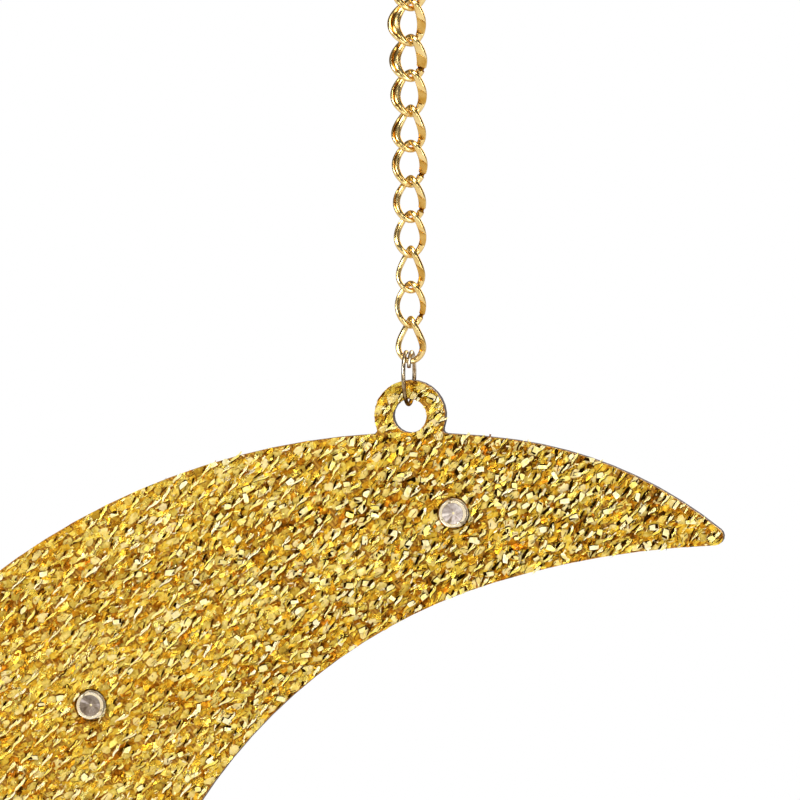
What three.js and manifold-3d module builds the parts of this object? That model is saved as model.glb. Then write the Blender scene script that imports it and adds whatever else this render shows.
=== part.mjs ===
// A crescent moon that hangs from a chain and lights up: a thin wooden board faced with
// glitter cloth, six clear lamps along its middle, and a battery case on the back.
// Millimetres, +Z up. The front faces -Y. The origin is the top inside the hanging ring,
// where a hook carries everything.

import * as THREE from 'three';
import { mergeVertices } from 'three/addons/utils/BufferGeometryUtils.js';
import Module from 'manifold-3d';

const wasm = await Module();
wasm.setup();

const DEG = Math.PI / 180;
const GAP = 0.3;           // between pieces that hang in or pass through one another
const CHORD_ERROR = 0.04;  // how far a drawn arc may lie inside the true one

// Driving dimensions first.
// Moon outline: its middle O is the centre of the long outer arc.
const MOON_R = 130;                          // outer arc
const HORN_R = 76.2;                         // the outer edge tightens to this near a tip
const HORN_FROM = 82.2;                      // degrees round O where it tightens
const BITE = { x: 43.8, z: 6.4, r: 101.1 };  // inner arc seen from below the top
const BITE_HORN_R = 159.3;                   // the inner edge flattens to this near a tip
const BITE_HORN_FROM = 107.4;                // degrees round the bite's centre
const BITE_BACK_FROM = 150;                  // beyond this a tighter arc joins the two halves
const TILT = 21.2;                           // the moon is symmetrical about this line
                                             // and hangs level by it
const TIP_R = 1.6;

// Ear on the outer edge, its middle a little outside the outer arc
const EAR_RISE = 3.1;
const EAR = { x: -1.8, z: MOON_R + EAR_RISE, r: 6.5, hole: 3.1, fillet: 0.7 };

// Board and cloth
const BOARD_T = 2.5;
const CLOTH_T = 0.6;

// Lamps: degrees from the moon's own line, on both sides of it, and how far outside the
// middle between the two edges
const LAMP_SPOTS = [
  { turn: 114.3, out: 0.6 },
  { turn: 74, out: -0.8 },
  { turn: 24.3, out: -1.2 },
];
const LAMP_R = 2.5;
const LAMP_HOLE_R = 2.7;
const LAMP_PROUD = 1.3;
const FLANGE_R = 2.9;
const FLANGE_T = 1.0;
const CONE_R = 1.95;
const CONE_DEPTH = 1.6;
const LAMP_SEAT = 0.05;
const LAMP_EDGE = 0.2;     // the bevel round its front
const LAMP_SIDES = 16;
const LEG = 0.5;
const LEG_PITCH = 2.54;

// Wires on the back
const WIRE_R = 0.55;
const WIRE_OFFSET = 3.8;  // from the lamps' middles
const WIRE_LIFT = 0.1;
const WIRE_TAIL = 3;
const LONG_WIRE_STEPS = 56;
const SHORT_WIRE_STEPS = 10;
const WIRE_SIDES = 6;
const WIRE_ROOM = 0.25;   // round a wire, in glue and in the case's walls
const DOT_R = 7;
const DOT_H = 3;

// Chain
const LINKS = 12;
const PITCH = 6.4;
const LINK_END_D = 1.05;   // wire thickness at a link's ends
const LINK_SIDE_W = 1.7;   // the hammered sides are wider
const LINK_SIDE_T = 0.95;
const LINK_W = 6.6;
const LINK_TWIST = 45;     // each end is turned by this, one each way
const YAW_DRIFT = 1.0;     // the whole chain turns slowly, and neighbours rock to and fro
const YAW_ROCK = { first: 4, more: 0.5 };
const LINK_STEPS = 26;
const LINK_SIDES = 8;

// Rings
const TOP_RING = { r: 7.1, wire: 1.4 };
const JUMP = { r: 4.75, wire: 0.75, yaw: 87, turns: 1.2, spread: 1.2, start: -63, slack: 0.45 };

// Battery case, for two small round cells side by side. Its length, width and height follow
// from the cells.
const CELL = { r: 5.2, length: 44.5, nub: 1.9, nubLength: 0.9, edge: 0.6 };
const CELL_PLAY = 0.1;      // between a cell and its contact
const CELL_ROOM = { between: 0.6, beside: 0.5, above: 0.9 };
const CONTACT_T = 0.4;
const CONTACT_SEAT = 0.05;  // between a contact and the wall behind it
const SPRING = { base: 3.6, tip: 2.2, turns: 4, wire: 0.5, room: 4.8, play: 0.1 };
const CASE = { wall: 1.8, end: 2, floor: 1.5, corner: 2 };
const CASE_AT = { turn: 94.9, out: 2.5 };  // placed as the lamps are, on the lower side
const PAD = { t: 0.8, inset: 2, corner: 1 };
const LID = { plate: 1.9, tongue: 0.9, reach: 0.7, groove: 0.9, slot: 1.2, play: 0.15 };
const GRIP = { count: 3, from: 6, pitch: 3, width: 1.2, half: 5, proud: 0.6, sunk: 0.2 };
const SWITCH_ROOM = 11.7;   // the solid end of the case that holds the switch
const SWITCH = { from: 5.4, width: 4.2, length: 8.8, depth: 4.9, play: 0.2, sunk: 0.1 };
const SWITCH_SLOT = { width: 1.9, length: 4.4, travel: 2 };
const KNOB = { width: 1.5, length: 2, sunk: 2.2, proud: 2 };

// Sizes that follow from these

const BACK_Y = BOARD_T / 2;
const FRONT_Y = -BOARD_T / 2 - CLOTH_T;
const CASE_Y = BACK_Y + PAD.t;
const CASE_HEIGHT = CASE.floor + GAP + 2 * CELL.r + CELL_ROOM.above + LID.plate;
const CASE_WIDTH = 4 * CELL.r + CELL_ROOM.between + 2 * (CELL_ROOM.beside + CASE.wall);
const BAY_LENGTH = CELL.length + CELL_PLAY + 2 * (CONTACT_T + CONTACT_SEAT) + SPRING.room;
const CASE_LENGTH = SWITCH_ROOM + BAY_LENGTH + CASE.end;
const BAY = { from: SWITCH_ROOM - CASE_LENGTH / 2, to: CASE_LENGTH / 2 - CASE.end };
const LINK_INNER = PITCH + GAP;  // clear length inside a link

const TOP_RING_Z = -(TOP_RING.r - TOP_RING.wire / 2);
const RING_FLOOR_Z = TOP_RING_Z - TOP_RING.r + TOP_RING.wire / 2;
const linkTop = (k) => RING_FLOOR_Z + GAP - PITCH * (k - 1);  // inside top of link k
const CHAIN_FLOOR_Z = linkTop(LINKS) - LINK_INNER;
const JUMP_Z = CHAIN_FLOOR_Z + GAP + JUMP.slack + JUMP.wire / 2 - JUMP.r;
const EAR_SEAT_Z = earSeat();
const MOON = new THREE.Vector3(-EAR.x, 0, EAR_SEAT_Z - EAR.hole - EAR.z);

// The ring curves up through the ear, so its top at the cloth's face is what the ear sits on.
function earSeat() {
  const reach = Math.hypot(-FRONT_Y, JUMP.wire / 2);
  return JUMP_Z - Math.sqrt(JUMP.r ** 2 - reach ** 2) + JUMP.wire / 2 + GAP;
}

function linkYaw(k) {
  const rock = YAW_ROCK.first + YAW_ROCK.more * k;
  return -YAW_DRIFT * k + (k % 2 ? rock : -rock);
}

// Materials

function metal(color, roughness) {
  return new THREE.MeshStandardMaterial({ color, roughness, metalness: 1 });
}

function matt(color, roughness) {
  return new THREE.MeshStandardMaterial({ color, roughness, metalness: 0 });
}

const LOOK = {
  gold: () => metal(0xd8ab4c, 0.18),
  silver: () => metal(0xb9b4aa, 0.2),
  steel: () => metal(0xa9abad, 0.3),
  brass: () => metal(0xc9a25a, 0.35),
  cellCan: () => metal(0x8d9196, 0.35),
  cloth: () => new THREE.MeshStandardMaterial({ color: 0xcda445, roughness: 0.4, metalness: 0.6 }),
  wood: () => matt(0xb08a63, 0.8),
  lamp: () => matt(0xe4ddd8, 0.1),
  caseBlack: () => matt(0x1c1c1e, 0.5),
  knob: () => matt(0x2b2b2d, 0.45),
  red: () => matt(0xa81f1b, 0.45),
  black: () => matt(0x17171a, 0.45),
  foam: () => matt(0xe9e7e0, 0.9),
  glue: () => matt(0xe6ddc4, 0.35),
};

// Small tools

function polar(r, degrees) {
  return new THREE.Vector2(r * Math.cos(degrees * DEG), r * Math.sin(degrees * DEG));
}

function heading(from, to) {
  return Math.atan2(to.y - from.y, to.x - from.x) / DEG;
}

// The mirror image of a point across the moon's own line
function mirrored(p) {
  const c = Math.cos(2 * TILT * DEG);
  const s = Math.sin(2 * TILT * DEG);
  return new THREE.Vector2(c * p.x + s * p.y, s * p.x - c * p.y);
}

function arcPoints(centre, r, from, to) {
  const step = 2 * Math.acos(1 - CHORD_ERROR / r) / DEG;
  const n = Math.max(2, Math.ceil(Math.abs(to - from) / step));
  const points = [];
  for (let i = 0; i <= n; i++) {
    points.push(polar(r, from + (to - from) * i / n).add(centre));
  }
  return points;
}

function circlePoints(centre, r) {
  return arcPoints(centre, r, 0, 360).slice(1);
}

// Where two circles cross; side picks the crossing left (1) or right (-1) of the line a to b
function crossing(a, ra, b, rb, side) {
  const d = a.distanceTo(b);
  const along = (ra * ra - rb * rb + d * d) / (2 * d);
  const off = side * Math.sqrt(ra * ra - along * along);
  const u = b.clone().sub(a).divideScalar(d);
  return new THREE.Vector2(a.x + u.x * along - u.y * off, a.y + u.y * along + u.x * off);
}

// A flat outline drawn in x and z, made solid from y = back towards -Y
function slab(outline, holes, back, thickness) {
  const shape = new THREE.Shape(outline);
  shape.holes = holes.map((h) => new THREE.Path(h));
  const geometry = new THREE.ExtrudeGeometry(shape, { depth: thickness, bevelEnabled: false });
  geometry.rotateX(Math.PI / 2);
  geometry.translate(0, back, 0);
  return geometry;
}

function box(x0, x1, y0, y1, z0, z1) {
  const geometry = new THREE.BoxGeometry(x1 - x0, y1 - y0, z1 - z0);
  geometry.translate((x0 + x1) / 2, (y0 + y1) / 2, (z0 + z1) / 2);
  return geometry;
}

function section(r, sides) {
  const points = [];
  for (let i = 0; i < sides; i++) {
    points.push(polar(r, 360 * (i + 0.5) / sides));
  }
  return new THREE.Shape(points);
}

function tube(path, r, sides, steps) {
  const options = { steps, bevelEnabled: false, extrudePath: path };
  return new THREE.ExtrudeGeometry(section(r, sides), options);
}

function toManifold(geometry) {
  const bare = geometry.clone();
  bare.deleteAttribute('normal');
  bare.deleteAttribute('uv');
  const merged = mergeVertices(bare, 1e-5);
  return new wasm.Manifold(new wasm.Mesh({
    numProp: 3,
    vertProperties: new Float32Array(merged.attributes.position.array),
    triVerts: new Uint32Array(merged.index.array),
  }));
}

function fromManifold(manifold) {
  const mesh = manifold.getMesh();
  const geometry = new THREE.BufferGeometry();
  geometry.setAttribute('position', new THREE.BufferAttribute(mesh.vertProperties, 3));
  geometry.setIndex(new THREE.BufferAttribute(mesh.triVerts, 1));
  geometry.computeVertexNormals();
  return geometry;
}

function cut(geometry, tools) {
  let result = toManifold(geometry);
  for (const tool of tools) {
    result = result.subtract(toManifold(tool));
  }
  return fromManifold(result);
}

function piece(name, geometry, material) {
  const mesh = new THREE.Mesh(geometry, material);
  mesh.name = name;
  return mesh;
}

// Moon: board and cloth

// The arcs of one half, from the tip round the outside and round the inside
function moonArcs() {
  const o = new THREE.Vector2(0, 0);
  const bite = new THREE.Vector2(BITE.x, BITE.z);
  const horn = polar(MOON_R - HORN_R, HORN_FROM);
  const biteHorn = polar(BITE.r - BITE_HORN_R, BITE_HORN_FROM).add(bite);
  const tip = crossing(horn, HORN_R - TIP_R, biteHorn, BITE_HORN_R + TIP_R, 1);
  const slope = Math.tan(TILT * DEG);
  const lean = polar(1, BITE_BACK_FROM);
  const shift = (slope * bite.x - bite.y) / (lean.y - slope * lean.x);
  const back = lean.multiplyScalar(shift).add(bite);
  return { o, bite, horn, biteHorn, tip, back, backR: BITE.r - shift };
}

function earPoints(o) {
  const ear = new THREE.Vector2(EAR.x, EAR.z);
  const right = crossing(o, MOON_R + EAR.fillet, ear, EAR.r + EAR.fillet, -1);
  const left = crossing(o, MOON_R + EAR.fillet, ear, EAR.r + EAR.fillet, 1);
  return {
    from: heading(o, right),
    to: heading(o, left),
    points: [
      ...arcPoints(right, EAR.fillet, heading(o, right) + 180, heading(right, ear)),
      ...arcPoints(ear, EAR.r, heading(ear, right), heading(ear, left) + 360).slice(1, -1),
      ...arcPoints(left, EAR.fillet, heading(left, ear), heading(o, left) - 180),
    ],
  };
}

function moonOutline() {
  const { o, bite, horn, biteHorn, tip, back, backR } = moonArcs();
  const ear = earPoints(o);
  const tipOut = heading(horn, tip);
  const tipIn = heading(biteHorn, tip);
  const outer = [
    ...arcPoints(tip, TIP_R, tipIn - 180, tipOut).slice(0, -1),
    ...arcPoints(horn, HORN_R, tipOut, HORN_FROM).slice(0, -1),
  ];
  const inner = [
    ...arcPoints(back, backR, 180 + TILT, BITE_BACK_FROM).slice(1, -1),
    ...arcPoints(bite, BITE.r, BITE_BACK_FROM, BITE_HORN_FROM).slice(0, -1),
    ...arcPoints(biteHorn, BITE_HORN_R, BITE_HORN_FROM, tipIn).slice(0, -1),
  ];
  const lowerFrom = 360 + 2 * TILT - HORN_FROM;
  return [
    ...outer,
    ...arcPoints(o, MOON_R, HORN_FROM, ear.from).slice(0, -1),
    ...ear.points,
    ...arcPoints(o, MOON_R, ear.to, lowerFrom).slice(1),
    ...outer.map(mirrored).reverse(),
    ...inner.map(mirrored).reverse(),
    polar(1, 180 + TILT).multiplyScalar(backR).add(back),
    ...inner,
  ];
}

// How far from O a circle lies in one direction
function reach(centre, r, degrees) {
  const along = centre.dot(polar(1, degrees));
  return along + Math.sqrt(along * along - centre.lengthSq() + r * r);
}

// How far from O the inner edge lies in one direction, over the upper half
function innerReach(degrees) {
  const { bite, biteHorn, back, backR } = moonArcs();
  const onBite = reach(bite, BITE.r, degrees);
  const seen = heading(bite, polar(onBite, degrees));
  if (seen < 0 || seen > BITE_BACK_FROM) {
    return reach(back, backR, degrees);
  }
  return seen < BITE_HORN_FROM ? reach(biteHorn, BITE_HORN_R, degrees) : onBite;
}

// A spot on the upper half's middle line, or `out` outside it
function middleSpot({ turn, out }) {
  const degrees = 180 + TILT - turn;
  return polar((MOON_R + innerReach(degrees)) / 2 + out, degrees);
}

function lampSpots() {
  const upper = LAMP_SPOTS.map(middleSpot);
  const lower = upper.map(mirrored).reverse();
  return [...upper, ...lower];
}

// The outward direction across the row of lamps at one of them
function acrossRow(i) {
  const spots = lampSpots();
  const before = spots[Math.max(i - 1, 0)];
  const after = spots[Math.min(i + 1, spots.length - 1)];
  const row = after.clone().sub(before).normalize();
  return new THREE.Vector2(-row.y, row.x).multiplyScalar(-1);
}

function moonFace() {
  const outline = moonOutline();
  const holes = lampSpots().map((spot) => circlePoints(spot, LAMP_HOLE_R));
  holes.push(circlePoints(new THREE.Vector2(EAR.x, EAR.z), EAR.hole));
  return { outline, holes };
}

function addFaces(moon) {
  const { outline, holes } = moonFace();
  const board = slab(outline, holes, BACK_Y, BOARD_T);
  const cloth = slab(outline, holes, BACK_Y - BOARD_T, CLOTH_T);
  moon.add(piece('crescent_board', board, LOOK.wood()));
  moon.add(piece('glitter_cloth', cloth, LOOK.cloth()));
}

// Lamps

function lampGeometry() {
  const back = BACK_Y + LAMP_SEAT + FLANGE_T;
  const seat = BACK_Y + LAMP_SEAT;
  const front = FRONT_Y - LAMP_PROUD;
  const profile = [
    [0, front + CONE_DEPTH],
    [CONE_R, front],
    [LAMP_R - LAMP_EDGE, front],
    [LAMP_R, front + LAMP_EDGE],
    [LAMP_R, seat],
    [FLANGE_R, seat],
    [FLANGE_R, back],
    [0, back],
  ].map(([r, y]) => new THREE.Vector2(r, y));
  return new THREE.LatheGeometry(profile, LAMP_SIDES);
}

// A leg leaves the lamp's back and is bent flat, outwards over the wire
function legGeometry() {
  const near = LEG_PITCH / 2 - LEG / 2;
  const start = BACK_Y + 2 * LAMP_SEAT + FLANGE_T;
  const low = BACK_Y + WIRE_LIFT + 2 * WIRE_R + WIRE_LIFT;
  const high = low + LEG;
  const far = WIRE_OFFSET + WIRE_R;
  const shape = new THREE.Shape([
    new THREE.Vector2(near, start),
    new THREE.Vector2(near + LEG, start),
    new THREE.Vector2(near + LEG, low),
    new THREE.Vector2(far, low),
    new THREE.Vector2(far, high),
    new THREE.Vector2(near, high),
  ]);
  const geometry = new THREE.ExtrudeGeometry(shape, { depth: LEG, bevelEnabled: false });
  geometry.translate(0, 0, -LEG / 2);
  return geometry;
}

function addLamps(moon) {
  lampSpots().forEach((spot, i) => {
    const name = `led_${i + 1}`;
    const group = new THREE.Group();
    group.position.set(spot.x, 0, spot.y);
    group.rotation.y = -acrossRow(i).angle();
    group.add(piece(name, lampGeometry(), LOOK.lamp()));
    group.add(piece(`${name}_anode`, legGeometry(), LOOK.steel()));
    const cathode = piece(`${name}_cathode`, legGeometry(), LOOK.steel());
    cathode.rotation.y = Math.PI;
    group.add(cathode);
    moon.add(group);
  });
}

// Wires and their glue

// The battery case's middle and its own directions: along the row and in towards O
function caseAxes() {
  const turn = 180 + TILT + CASE_AT.turn;
  const centre = mirrored(middleSpot(CASE_AT));
  return { turn, centre, along: polar(1, turn + 90), inward: polar(-1, turn) };
}

// A point given in the battery case's own directions, as a point of the moon
function casePoint(x, y, z) {
  const { centre, along, inward } = caseAxes();
  return new THREE.Vector3(
    centre.x + along.x * x + inward.x * z,
    y,
    centre.y + along.y * x + inward.y * z,
  );
}

const WIRE_Y = BACK_Y + WIRE_LIFT + WIRE_R;

// A wire passes every lamp from spot `first` to spot `last` on one side of their middles
function wirePath(entry, first, last, side) {
  const spots = lampSpots();
  const points = [...entry];
  const step = Math.sign(last - first) || 1;
  for (let i = first; i !== last + step; i += step) {
    const beside = spots[i].clone().addScaledVector(acrossRow(i), side * WIRE_OFFSET);
    points.push(new THREE.Vector3(beside.x, WIRE_Y, beside.y));
  }
  return points;
}

// A wire that bends smoothly through its points and never dips into the board
class LaidWire extends THREE.CatmullRomCurve3 {
  getPoint(t, target = new THREE.Vector3()) {
    super.getPoint(t, target);
    target.y = Math.max(target.y, WIRE_Y);
    return target;
  }
}

// Past the last lamp the wire runs on by a few millimetres
function withTail(points) {
  const [a, b] = points.slice(-2);
  const tail = b.clone().sub(a).setLength(WIRE_TAIL).add(b);
  return new LaidWire([...points, tail], false, 'centripetal');
}

// A lamp's place in the case's own directions
function lampInCase(i) {
  const { centre, along, inward } = caseAxes();
  const from = lampSpots()[i].clone().sub(centre);
  return { x: from.dot(along), z: from.dot(inward) };
}

// Both long wires leave the case beside the fifth lamp, one through its end and one through
// its side, and the short ones run straight from its other end to the sixth.
function wireRuns() {
  const near = -CASE_LENGTH / 2;
  const far = CASE_LENGTH / 2;
  const side = CASE_WIDTH / 2;
  const route = (points) => points.map(([x, z]) => casePoint(x, WIRE_Y, z));
  const sixth = lampInCase(5).z;
  const outer = route([[near + 1, side - 3], [near - 1.2, side - 2.8]]);
  const inner = route([[near + 6, side - 1], [near + 5.6, side + 1.2], [near + 1, side + 4.1]]);
  const shortOuter = route([[far - 1, sixth - WIRE_OFFSET], [far + 1.2, sixth - WIRE_OFFSET]]);
  const shortInner = route([[far - 1, sixth + WIRE_OFFSET], [far + 1.2, sixth + WIRE_OFFSET]]);
  const last = lampSpots().length - 1;
  const run = (name, entry, first, to, side, steps) => {
    const path = withTail(wirePath(entry, first, to, side));
    return { name, path, entries: entry.length, steps };
  };
  return [
    run('wire_positive', outer, last - 1, 0, 1, LONG_WIRE_STEPS),
    run('wire_negative', inner, last - 1, 0, -1, LONG_WIRE_STEPS),
    run('wire_positive_short', shortOuter, last, last, 1, SHORT_WIRE_STEPS),
    run('wire_negative_short', shortInner, last, last, -1, SHORT_WIRE_STEPS),
  ];
}

function wireTube(run, extra) {
  return tube(run.path, WIRE_R + extra, WIRE_SIDES, run.steps);
}

function addWires(moon, runs) {
  for (const run of runs) {
    const look = run.name.includes('positive') ? LOOK.red() : LOOK.black();
    moon.add(piece(run.name, wireTube(run, 0), look));
  }
}

// Where a long run passes halfway between lamp i and the next one
function halfway(run, i) {
  const last = run.path.points.length - 1;
  const passed = lampSpots().length - 2 - i;
  return run.path.getPoint((run.entries + passed - 0.5) / last);
}

// Dots of glue hold both wires down halfway between neighbouring lamps
function addGlue(moon, runs) {
  const long = runs.slice(0, 2);
  const profile = [[0, 0], [DOT_R, 0], [DOT_R * 0.92, DOT_H * 0.4], [DOT_R * 0.6, DOT_H * 0.85]]
    .concat([[0, DOT_H]])
    .map(([r, y]) => new THREE.Vector2(r, BACK_Y + y));
  const grooves = long.map((run) => wireTube(run, WIRE_ROOM));
  for (let i = 0; i < lampSpots().length - 2; i++) {
    const middle = halfway(long[0], i).add(halfway(long[1], i)).divideScalar(2);
    const dome = new THREE.LatheGeometry(profile, 16);
    dome.translate(middle.x, 0, middle.z);
    moon.add(piece(`glue_dot_${i + 1}`, cut(dome, grooves), LOOK.glue()));
  }
}

// Battery case

function caseOutline(half, width, corner) {
  const points = [];
  const corners = [[1, 1, 0], [-1, 1, 90], [-1, -1, 180], [1, -1, 270]];
  for (const [sx, sz, from] of corners) {
    const centre = new THREE.Vector2(sx * (half - corner), sz * (width / 2 - corner));
    points.push(...arcPoints(centre, corner, from, from + 90));
  }
  return points;
}

function caseGeometry(runs) {
  const h = CASE_HEIGHT;
  const inside = CASE_WIDTH / 2 - CASE.wall;
  const groove = inside + LID.groove;
  const grooveY = h - LID.plate - LID.play;
  const open = CASE_LENGTH / 2 + 1;
  const shell = slab(caseOutline(CASE_LENGTH / 2, CASE_WIDTH, CASE.corner), [], h, h);
  const tools = [
    box(BAY.from, BAY.to, CASE.floor, h + 1, -inside, inside),
    box(BAY.from, open, grooveY, h + 1, -inside, inside),
    box(BAY.from, open, grooveY, grooveY + LID.slot, -groove, groove),
    switchBox(SWITCH.play, GAP, 1),
  ];
  const hollow = cut(shell, tools);
  hollow.translate(0, CASE_Y, 0);
  const turned = runs.map((run) => wireTube(run, WIRE_ROOM).applyMatrix4(caseMatrix().invert()));
  return cut(hollow, turned);
}

// The switch's own box, grown by `play` at its sides, `under` below and `over` above
function switchBox(play, under, over) {
  const x = SWITCH.from - CASE_LENGTH / 2;
  const halfX = SWITCH.width / 2 + play;
  const halfZ = SWITCH.length / 2 + play;
  const top = CASE_HEIGHT - SWITCH.sunk;
  return box(x - halfX, x + halfX, top - SWITCH.depth - under, top + over, -halfZ, halfZ);
}

function caseMatrix() {
  const { turn, centre } = caseAxes();
  const matrix = new THREE.Matrix4().makeRotationY((270 - turn) * DEG);
  return matrix.setPosition(centre.x, 0, centre.y);
}

function lidGeometry() {
  const h = CASE_HEIGHT;
  const half = CASE_WIDTH / 2 - CASE.wall - LID.play;
  const from = BAY.from + LID.play;
  const to = CASE_LENGTH / 2;
  const bottom = h - LID.plate;
  const plate = box(from, to, bottom, h, -half, half);
  const tongues = box(from, to, bottom, bottom + LID.tongue, -half - LID.reach, half + LID.reach);
  let lid = toManifold(plate).add(toManifold(tongues));
  for (let i = 0; i < GRIP.count; i++) {
    const x = to - GRIP.from - GRIP.pitch * i;
    const rib = box(x, x + GRIP.width, h - GRIP.sunk, h + GRIP.proud, -GRIP.half, GRIP.half);
    lid = lid.add(toManifold(rib));
  }
  return fromManifold(lid);
}

function cellGeometry() {
  const { r, length, nub, nubLength, edge } = CELL;
  const body = length - nubLength;
  const profile = [
    [0, 0],
    [r - edge, 0],
    [r, edge],
    [r, body - edge],
    [r - edge, body],
    [nub, body],
    [nub, length],
    [0, length],
  ].map(([x, y]) => new THREE.Vector2(x, y));
  const geometry = new THREE.LatheGeometry(profile, 24);
  geometry.rotateZ(-Math.PI / 2);
  return geometry;
}

class ConeSpring extends THREE.Curve {
  constructor(length) {
    super();
    this.length = length;
  }

  getPoint(t, target = new THREE.Vector3()) {
    const r = SPRING.base + (SPRING.tip - SPRING.base) * t;
    const turn = 2 * Math.PI * SPRING.turns * t;
    return target.set(this.length * t, r * Math.cos(turn), r * Math.sin(turn));
  }
}

// The least space between neighbouring turns, measured on points along the middle
function leastSpringGap(curve) {
  const n = 40 * SPRING.turns;
  const points = Array.from({ length: n + 1 }, (_, i) => curve.getPoint(i / n));
  let least = Infinity;
  for (let i = 0; i <= n; i++) {
    for (let j = i + 20; j <= n; j++) {
      least = Math.min(least, points[i].distanceTo(points[j]));
    }
  }
  return least - SPRING.wire;
}

function springGeometry() {
  const length = SPRING.room - SPRING.wire - 2 * SPRING.play;
  const curve = new ConeSpring(length);
  console.log(`contact spring: least gap to itself ${leastSpringGap(curve).toFixed(2)} mm`);
  const geometry = tube(curve, SPRING.wire / 2, 5, 8 * SPRING.turns);
  geometry.translate(SPRING.wire / 2 + SPRING.play, 0, 0);
  return geometry;
}

// Both cells lie the opposite way round, each with a spring behind its flat end
function addCells(space) {
  const y = CASE.floor + GAP + CELL.r;
  const z = CELL.r + CELL_ROOM.between / 2;
  const nearFace = BAY.from + CONTACT_SEAT + CONTACT_T;
  const farFace = BAY.to - CONTACT_SEAT - CONTACT_T;
  const a = piece('battery_a', cellGeometry(), LOOK.cellCan());
  a.position.set(nearFace + CELL_PLAY + CELL.length, y, z);
  a.rotation.z = Math.PI;
  const b = piece('battery_b', cellGeometry(), LOOK.cellCan());
  b.position.set(farFace - CELL_PLAY - CELL.length, y, -z);
  const springA = piece('spring_a', springGeometry(), LOOK.steel());
  springA.position.set(farFace, y, z);
  springA.rotation.z = Math.PI;
  const springB = piece('spring_b', springGeometry(), LOOK.steel());
  springB.position.set(nearFace, y, -z);
  space.add(a, b, springA, springB);
}

function addContacts(space) {
  const y0 = CASE.floor + 2 * CONTACT_SEAT;
  const y1 = CASE.floor + 2 * CELL.r;
  const edge = CASE_WIDTH / 2 - CASE.wall - CONTACT_T;
  const far = BAY.to - CONTACT_SEAT;
  const near = BAY.from + CONTACT_SEAT;
  const middle = CELL_ROOM.between + CONTACT_T;
  space.add(piece('contact_bridge', box(far - CONTACT_T, far, y0, y1, -edge, edge), LOOK.steel()));
  space.add(piece('contact_positive', box(near, near + CONTACT_T, y0, y1, middle, edge),
    LOOK.steel()));
  space.add(piece('contact_negative', box(near, near + CONTACT_T, y0, y1, -edge, -middle),
    LOOK.steel()));
}

function addSwitch(space) {
  const x = SWITCH.from - CASE_LENGTH / 2;
  const top = CASE_HEIGHT - SWITCH.sunk;
  const halfX = SWITCH_SLOT.width / 2;
  const halfZ = SWITCH_SLOT.length / 2;
  const slot = box(x - halfX, x + halfX, top - KNOB.sunk - GAP, top + 1, -halfZ, halfZ);
  const z = -SWITCH_SLOT.travel / 2;
  const knob = box(x - KNOB.width / 2, x + KNOB.width / 2, top - KNOB.sunk, top + KNOB.proud,
    z - KNOB.length / 2, z + KNOB.length / 2);
  space.add(piece('switch_frame', cut(switchBox(0, 0, 0), [slot]), LOOK.steel()));
  space.add(piece('switch_slider', knob, LOOK.knob()));
}

function addCase(moon, runs) {
  const turned = new THREE.Group();
  turned.applyMatrix4(caseMatrix());
  moon.add(turned);
  const outline = caseOutline(CASE_LENGTH / 2 - PAD.inset, CASE_WIDTH - 2 * PAD.inset, PAD.corner);
  const pad = slab(outline, [], CASE_Y, PAD.t);
  turned.add(piece('foam_pad', pad, LOOK.foam()));
  turned.add(piece('battery_case', caseGeometry(runs), LOOK.caseBlack()));
  const inside = new THREE.Group();
  inside.position.y = CASE_Y;
  turned.add(inside);
  inside.add(piece('battery_lid', lidGeometry(), LOOK.caseBlack()));
  addCells(inside);
  addContacts(inside);
  addSwitch(inside);
}

// Chain and rings

// One link of twisted chain: an oval of wire whose two ends are turned opposite ways.
// The wire is round at the ends and hammered wider along the sides.
function linkGeometry() {
  const halfW = (LINK_W - LINK_SIDE_W) / 2;
  const halfL = (LINK_INNER + LINK_END_D) / 2;
  const twisted = (x, z, height) => {
    const turn = -LINK_TWIST * DEG * height / halfL;
    return new THREE.Vector3(x * Math.cos(turn), x * Math.sin(turn), z);
  };
  const middle = (t) => {
    const z = halfL * Math.sin(t);
    return twisted(halfW * Math.cos(t), z, z);
  };
  const positions = [];
  for (let i = 0; i < LINK_STEPS; i++) {
    const t = 2 * Math.PI * i / LINK_STEPS;
    const p = middle(t);
    const along = middle(t + 0.01).sub(middle(t - 0.01)).normalize();
    const out = twisted(Math.cos(t) / halfW, Math.sin(t) / halfL, p.z);
    out.addScaledVector(along, -out.dot(along)).normalize();
    const across = new THREE.Vector3().crossVectors(along, out);
    const flat = Math.cos(t) ** 2;
    const a = (LINK_END_D + (LINK_SIDE_W - LINK_END_D) * flat) / 2;
    const b = (LINK_END_D + (LINK_SIDE_T - LINK_END_D) * flat) / 2;
    for (let j = 0; j < LINK_SIDES; j++) {
      const s = 2 * Math.PI * (j + 0.5) / LINK_SIDES;
      const q = p.clone();
      q.addScaledVector(out, a * Math.cos(s)).addScaledVector(across, b * Math.sin(s));
      positions.push(q.x, q.y, q.z);
    }
  }
  return closedLoop(positions, LINK_STEPS, LINK_SIDES);
}

function closedLoop(positions, steps, sides) {
  const index = [];
  for (let i = 0; i < steps; i++) {
    for (let j = 0; j < sides; j++) {
      const a = i * sides + j;
      const b = i * sides + (j + 1) % sides;
      const c = ((i + 1) % steps) * sides + (j + 1) % sides;
      const d = ((i + 1) % steps) * sides + j;
      index.push(a, b, c, a, c, d);
    }
  }
  const geometry = new THREE.BufferGeometry();
  geometry.setAttribute('position', new THREE.Float32BufferAttribute(positions, 3));
  geometry.setIndex(index);
  geometry.computeVertexNormals();
  return geometry;
}

function addChain(light) {
  for (let k = 1; k <= LINKS; k++) {
    const name = `chain_link_${String(k).padStart(2, '0')}`;
    const link = piece(name, linkGeometry(), LOOK.gold());
    link.position.z = linkTop(k) - LINK_INNER / 2;
    link.rotation.z = linkYaw(k) * DEG;
    light.add(link);
  }
}

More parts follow.
